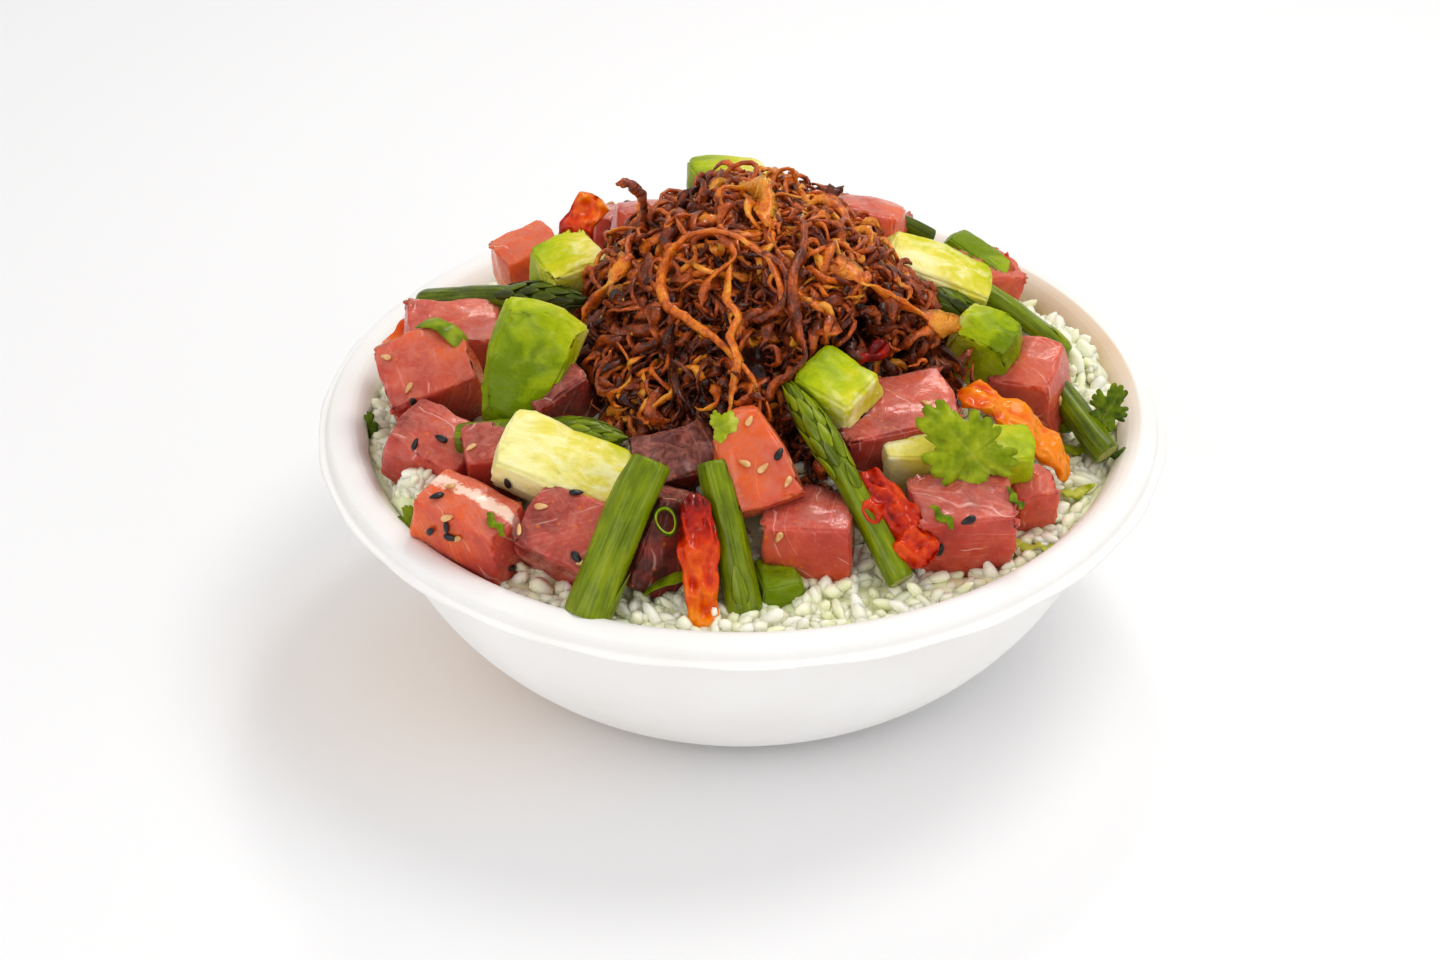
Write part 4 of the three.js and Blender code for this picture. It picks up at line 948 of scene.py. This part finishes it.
def leaf(length, width, lobes, depth):
    """A wavy leaf in the XY plane, its stalk end at -X: points, faces and how much vein is at each."""
    columns, rings, teeth = lobes * LEAF.columns, LEAF.rings, LEAF.teeth
    angle = circle(columns)
    reach = 0.5 * (1 + 0.2 * np.cos(angle)) * (1 - depth * (0.5 - 0.5 * np.cos(lobes * angle)) ** 6)
    tooth = np.abs((angle * lobes * teeth / tau + 0.5 + 0.14 * np.sin(3 * angle)) % 1 - 0.5) * 2
    reach *= (1.03 - 0.2 * tooth**4) * (1 + 0.09 * np.sin(2 * angle + 0.7) + 0.06 * np.sin(3 * angle + 2))
    share = np.concatenate([np.linspace(0.02, 1, rings), np.linspace(1, 0.02, rings)])[:, None]
    x, y = share * np.cos(angle) * reach * length, share * np.sin(angle) * reach * width
    vein, from_root = np.zeros_like(x), x + 0.3 * length
    for tip in circle(lobes):
        run_x, run_y = (0.42 * cos(tip) + 0.3) * length, 0.42 * sin(tip) * width
        along = np.clip((from_root * run_x + y * run_y) / (run_x**2 + run_y**2), 0, 1)
        off = np.hypot(from_root - along * run_x, y - along * run_y)
        vein = np.maximum(vein, np.exp(-((off / 0.3) ** 2)) * (1 - 0.7 * along))
    wave = 0.06 * np.sin(x / length * 5) * np.cos(y / width * 4)
    curl = 0.035 * share**2 * np.cos(angle * lobes) + 0.02 * share**4 * np.cos(angle * lobes * teeth)
    side = np.repeat([1.5, 0.5], rings)[:, None] * LEAF.thickness
    points = stacked(x, y, (wave + curl) * length - 0.15 * vein + side)
    return points.reshape(-1, 3), tube_faces(2 * rings, columns, True), vein.ravel()


def make_leaves():
    for _, name, at, size, turn, lobes, depth, shade in named("herb_leaf", HERB_LEAVES):
        points, faces, vein = leaf(*size, lobes, depth)
        piece = Heap().add(points @ turned(turn).T + at, faces, shade=shade, pale=vein)
        piece.finish(name + "_leaf", "herb", name)


def make_scallion():
    radius, length, count = SCALLION.radius, SCALLION.length, 48
    inner, around = radius - SCALLION.wall, circle(count)
    corners = [(inner, length / 2), (inner, 0), (radius, 0), (radius, length), (inner, length), (inner, length / 2)]
    section = rounded(np.array(corners))[:-1]
    wobble = 1 + 0.04 * np.sin(around * 3)
    points = round_z(section[:, :1] * wobble, around, section[:, 1:]).reshape(-1, 3) * (0.7, 1, 1)
    faces = grid_faces(len(section) + 1, count)[:, ::-1] % len(points)
    shade = np.repeat(np.where(section[:, 0] > radius - SCALLION.wall / 2, 0.2, 0.75), count)
    piece = Heap().add(points @ turned(SCALLION.turn).T + SCALLION.at, faces.tolist(), shade=shade, pale=0)
    piece.finish("scallion_ring_slice", "scallion", "scallion_ring", LOOKS["herb"])


# ---- Onions ----


def mound_share(x, y):
    """How far out a place is from the middle of the onions, 0, to their edge, 1."""
    return np.hypot((x - ONION.centre[0]) / ONION.radius[0], (y - ONION.centre[1]) / ONION.radius[1])


def mound_place(share, azimuth):
    (x, y), (wide, deep) = ONION.centre, ONION.radius
    return x + wide * share * np.cos(azimuth), y + deep * share * np.sin(azimuth)


def mound_height(x, y):
    share = np.minimum(1, mound_share(x, y))
    smooth = ONION.base + (ONION.top - ONION.base) * (1 - share**2.2) ** 0.75
    away = np.hypot(x - SHOULDER.at[0], y - SHOULDER.at[1]) / SHOULDER.spread
    return smooth + 2.2 * unevenness(x * 1.5, y * 1.5, 0, 5) - SHOULDER.drop * np.exp(-away * away / 2)


def mound_normal(x, y):
    height = mound_height(x, y)
    return unit((height - mound_height(x + 1, y), height - mound_height(x, y + 1), 1.0))


def clear_run(path, slack=0.5):
    """The first stretch of a path that stays out of the toppings."""
    for i, point in enumerate(path):
        if nearest(TOPPINGS, point)[0] > -slack:
            return path[:i]
    return path


def make_onions():
    rings, columns = 60, 150
    share, around = np.meshgrid(np.linspace(0.01, 1, rings), circle(columns), indexing="ij")
    x, y = mound_place(0.98 * share, around)
    surface = stacked(x, y, mound_height(x, y))
    surface[..., 2] -= 6 + 1.6 * noise(surface / 4, 3) + 1.2 * np.abs(noise(surface / 1.8, 4))
    skirt = surface[-1:].copy()
    skirt[..., 2] = 60
    points = np.concatenate([surface, skirt]).reshape(-1, 3)
    # Painted shade: the core under the strands is painted in a near-black onion tone, as the shade deep in the
    # heap.
    core = Heap().add(points, tube_faces(rings + 1, columns, True), tone=0.08)
    core.finish("onion_core", "fried_onion", "fried_onion")

    rng, heaps, step = np.random.default_rng(29), [Heap(), Heap(), Heap()], STRANDS.step
    draw = rng.uniform

    def lay(path, width, thickness, tone, twist_rate, heap, crimp=1.0):
        count = len(path)
        t = np.linspace(0, 1, count)
        along = stacked(t * count * step, tone * 91, width * 7)
        worn = 1 + crimp * (0.3 * noise(along / (1.2, 1, 1), 2) + 0.4 * noise(along / (4.0, 1, 1), 3))
        frizz = 0.8 * crimp * shift_noise(along / (3.4, 1, 1), 5) + 0.3 * shift_noise(along / (1.5, 1, 1), 8)
        ends = np.clip(np.minimum(t, 1 - t) * count / 3.0, 0.45, 1)
        twist = twist_rate * t * count * step + 1.2 * np.sin(t * 5 + tone * 40)
        thick = thickness * ends * (0.7 + 0.3 * worn)
        points, faces = ribbon(path + frizz, width * worn * ends, thick, twist, STRANDS.sides)
        tones = np.repeat(tone + 0.24 * noise(along / (4.0, 1, 1), 9), STRANDS.sides)
        heap.add(points + 0.2 * shift_noise(points / 0.9, 20), faces, tone=tones)

    def any_place():
        azimuth, share = draw(0, tau), sqrt(draw(0, 0.93))
        return mound_place(share, azimuth)

    def clump(x, y):
        """The onions lie in clumps, with hollows between them, where the strands lie lower and so get darker
        painted shade.
        """
        return 1.8 * noise(np.array([x, y, 0.0]) / 11, 41)

    def by_loop(x, y):
        return hypot(x - LOOP.at[0], y - LOOP.at[1]) < LOOP.clear

    def tone_and_shade_at(place, lift):
        """A random tone with painted shade: paler towards the top and in the outer strands, darker in the lower
        ones.
        """
        shade = rng.choice([0.3, 0.5, 0.8], p=[0.5, 0.33, 0.17]) + rng.normal(0, 0.1)
        shade += 0.06 * lift + 0.006 * (place[2] - 92) + 0.12 * unevenness(place[0], place[1], 0, 8)
        return float(np.clip(shade, 0.13, 0.92))

    made = 0
    while made < STRANDS.count:
        x, y = any_place()
        heading, length = draw(0, tau), draw(9, 36)
        curl = rng.choice([-1, 1]) * draw(0.05, 0.3)
        lift, sway = draw(-3.4, -1.0 if by_loop(x, y) else 1.8) + clump(x, y), draw(0.5, 1.8)
        coil, pitch, phase = draw(0.5, 3.0), draw(7, 18), draw(0, 6.28)
        path = []
        for i in range(int(length / step)):
            normal, s = mound_normal(x, y), i * step
            wave = sway * sin(s * 0.32 + phase) + coil * sin(s * tau / pitch)
            out = normal * (lift + wave * (0.5 if by_loop(x, y) else 1))
            across = np.array([-sin(heading), cos(heading), 0]) * coil * cos(s * tau / pitch)
            path.append(np.array([x, y, mound_height(x, y)]) + out + across)
            heading += (curl + 0.16 * sin(s * 0.21 + phase)) * step
            slope = hypot(1, (normal[0] * cos(heading) + normal[1] * sin(heading)) / max(normal[2], 0.2))
            x += cos(heading) * step / slope
            y += sin(heading) * step / slope
            if mound_share(x, y) > 0.965:
                break
        path = clear_run(np.array(path)) if path else []
        if len(path) < 10:
            continue
        width = rng.choice([draw(1.1, 1.8), draw(1.8, 2.7), draw(2.7, 4.4)], p=[0.42, 0.44, 0.14])
        lay(path, width, draw(0.7, 1.2), tone_and_shade_at(path[0], lift), draw(-0.08, 0.08), heaps[made % 2])
        made += 1
    # Short tight curls and crumbs fill the gaps.
    spots = []
    for _ in range(LOOSE_CURLS):
        x, y = any_place()
        lift = draw(-2.5, 1.0) + clump(x, y)
        spots.append(np.array([x, y, mound_height(x, y)]) + mound_normal(x, y) * lift)
    spots += [np.array(at) + rng.normal(size=3) * (5, 3, 2.5) for at in SPILLS for _ in range(SPILLED)]
    for middle in spots:
        angle, radius = np.linspace(0, draw(2.5, 6.5), 16), rng.choice([draw(1.3, 2.6), draw(2.6, 4.4)])
        flat = round_z(radius, angle, angle * draw(-0.7, 0.7))
        path = clear_run(flat @ turned(draw(0, 360, 3)).T + middle)
        if len(path) > 7:
            lay(path, draw(1.2, 3.6), draw(0.7, 1.2), tone_and_shade_at(middle, 0), 0.0, heaps[2])
    for width, thickness, tone, points in HERO_STRANDS:
        path = smooth_path(points, len(points) * 7)
        path += np.array([mound_normal(x, y) for x, y, _ in path]) * LOOP.lift
        lay(path, width, thickness, tone, 0.02, heaps[2], 0.45)
    for heap, part in zip(heaps, ("strands_a", "strands_b", "curls")):
        heap.finish("onion_" + part, "fried_onion", "fried_onion")


# ---- Seeds ----


def on_pieces(table):
    """Where each direction from the middle of a piece's box leaves the piece, and the normal there."""
    for name, directions in table.items():
        tree = tree_of(bpy.data.objects[name + "_flesh"])
        middle = Vector(np.mean(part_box(name), axis=0) / MM)
        for azimuth, elevation in directions:
            towards = Vector(turned((0, 0, azimuth)) @ turned((0, -elevation, 0)) @ (1, 0, 0))
            place, normal, _, _ = tree.ray_cast(middle + towards * 100, -towards)
            yield np.array(place), np.array(normal)


def any_axes(normal, rng):
    side = unit(np.cross(normal, rng.normal(size=3)))
    return np.array([side, np.cross(normal, side), normal])


def make_seeds(name, look, table, seed, scale):
    rng, heap = np.random.default_rng(seed), Heap()
    template, faces = drop(12, 9, 0.5)
    for place, normal in on_pieces(table):
        axes = any_axes(normal, rng)
        size = np.array(SEED_SIZE) / 2 * scale * rng.uniform(0.9, 1.08)
        heap.add(template * size @ axes + place + normal * 0.4, faces)
    heap.finish(name, None, look=look)


def make_shreds():
    """Shreds of green leaf on the tuna and on the rice."""
    rng, heap = np.random.default_rng(9), Heap()
    template, faces = drop(12, 12, 0.4)
    shreds = [(*there, SHRED_SIZE, 0.5, 0.03) for there in on_pieces(SHREDS)]
    for (x, y, lift), size, shade in RICE_SHREDS:
        shreds.append(((x, y, rice_height(x, y) + lift), np.array((0, 0, 1)), size, shade, 0.1))
    for index, (place, normal, size, shade, curl) in enumerate(shreds):
        axes, points = any_axes(normal, rng), template * size
        points[:, 2] += curl * points[:, 0] ** 2 + 0.3 * np.sin(points[:, 0] * 2.4)
        points[:, 1] += 0.5 * np.sin(points[:, 0] * 1.6 + index)
        heap.add(points @ axes + place + normal * 0.5, faces, shade=shade, pale=0)
    heap.finish("green_scraps", "herb")


# ---- Stage ----


def make_floor():
    half = FLOOR.half * MM
    mesh = bpy.data.meshes.new("floor")
    mesh.from_pydata([(-half, -half, 0), (half, -half, 0), (half, half, 0), (-half, half, 0)], [], [(0, 1, 2, 3)])
    look = Look("floor", 0.8, 0.1)
    # Painted warm shade: the floor is tinted warm near the bowl, where its shadow falls.
    away = look.node("VectorMath", {0: look.place, 1: Vector(PAINTED_WARM_SHADE.at) * MM}, "Value", operation="DISTANCE")
    warm_shade_mask = look.between(away, PAINTED_WARM_SHADE.inner * MM, PAINTED_WARM_SHADE.outer * MM, 1, 0)
    look.color = srgb(FLOOR.color)
    look.over(warm_shade_mask, PAINTED_WARM_SHADE.color)
    mesh.materials.append(look.done())
    floor = add_object("floor", mesh)


def make_light():
    sky = Nodes(bpy.data.worlds.new("studio"))
    height = sky.node("SeparateXYZ", {0: sky.node("TexCoord", {}, "Generated")}, "Z")
    values = {"Value": height, "From Min": 0, "From Max": 0.8, "To Min": SKY.horizon, "To Max": SKY.zenith}
    strength = sky.node("MapRange", values, "Result")
    sky.feed(sky.nodes["Background"], {"Strength": strength, "Color": (1, 0.995, 0.99, 1)})
    bpy.context.scene.world = sky.owner
    for name, at, size, power, color in LIGHTS:
        data = bpy.data.lights.new(name, "AREA")
        data.shape, data.size, data.energy, data.color = "DISK", size * MM, power, color
        lamp = add_object(name, data)
        lamp.location = Vector(at) * MM
        lamp.rotation_euler = (Vector((0, 0, 0.06)) - lamp.location).to_track_quat("-Z", "Y").to_euler()


def make_camera():
    data = bpy.data.cameras.new("camera")
    data.lens, data.sensor_width, data.clip_start, data.clip_end = CAMERA.lens, CAMERA.sensor, 0.05, 20
    scene = bpy.context.scene
    scene.camera = add_object("camera", data)
    tilt = Matrix.Rotation(radians(90 - CAMERA.down), 4, "X") @ Matrix.Rotation(radians(-CAMERA.roll), 4, "Z")
    scene.camera.matrix_world = Matrix.Translation(Vector(CAMERA.at) * MM) @ tilt
    scene.view_settings.view_transform = "Standard"
    scene.view_settings.gamma = GAMMA


make_bowl()
make_rice()
make_tuna()
make_avocado()
for spear in named("asparagus", ASPARAGUS):
    make_spear(*spear)
make_strips()
make_leaves()
make_scallion()
make_onions()
make_seeds("seeds_black", seed_look("black_sesame", (8, 8, 10), (34, 30, 30), 0.35), BLACK_SEEDS, 5, 1)
make_seeds("seeds_tan", seed_look("tan_sesame", (206, 150, 84), (240, 204, 150), 0.4), TAN_SEEDS, 6, 0.86)
make_shreds()
make_floor()
make_light()
make_camera()
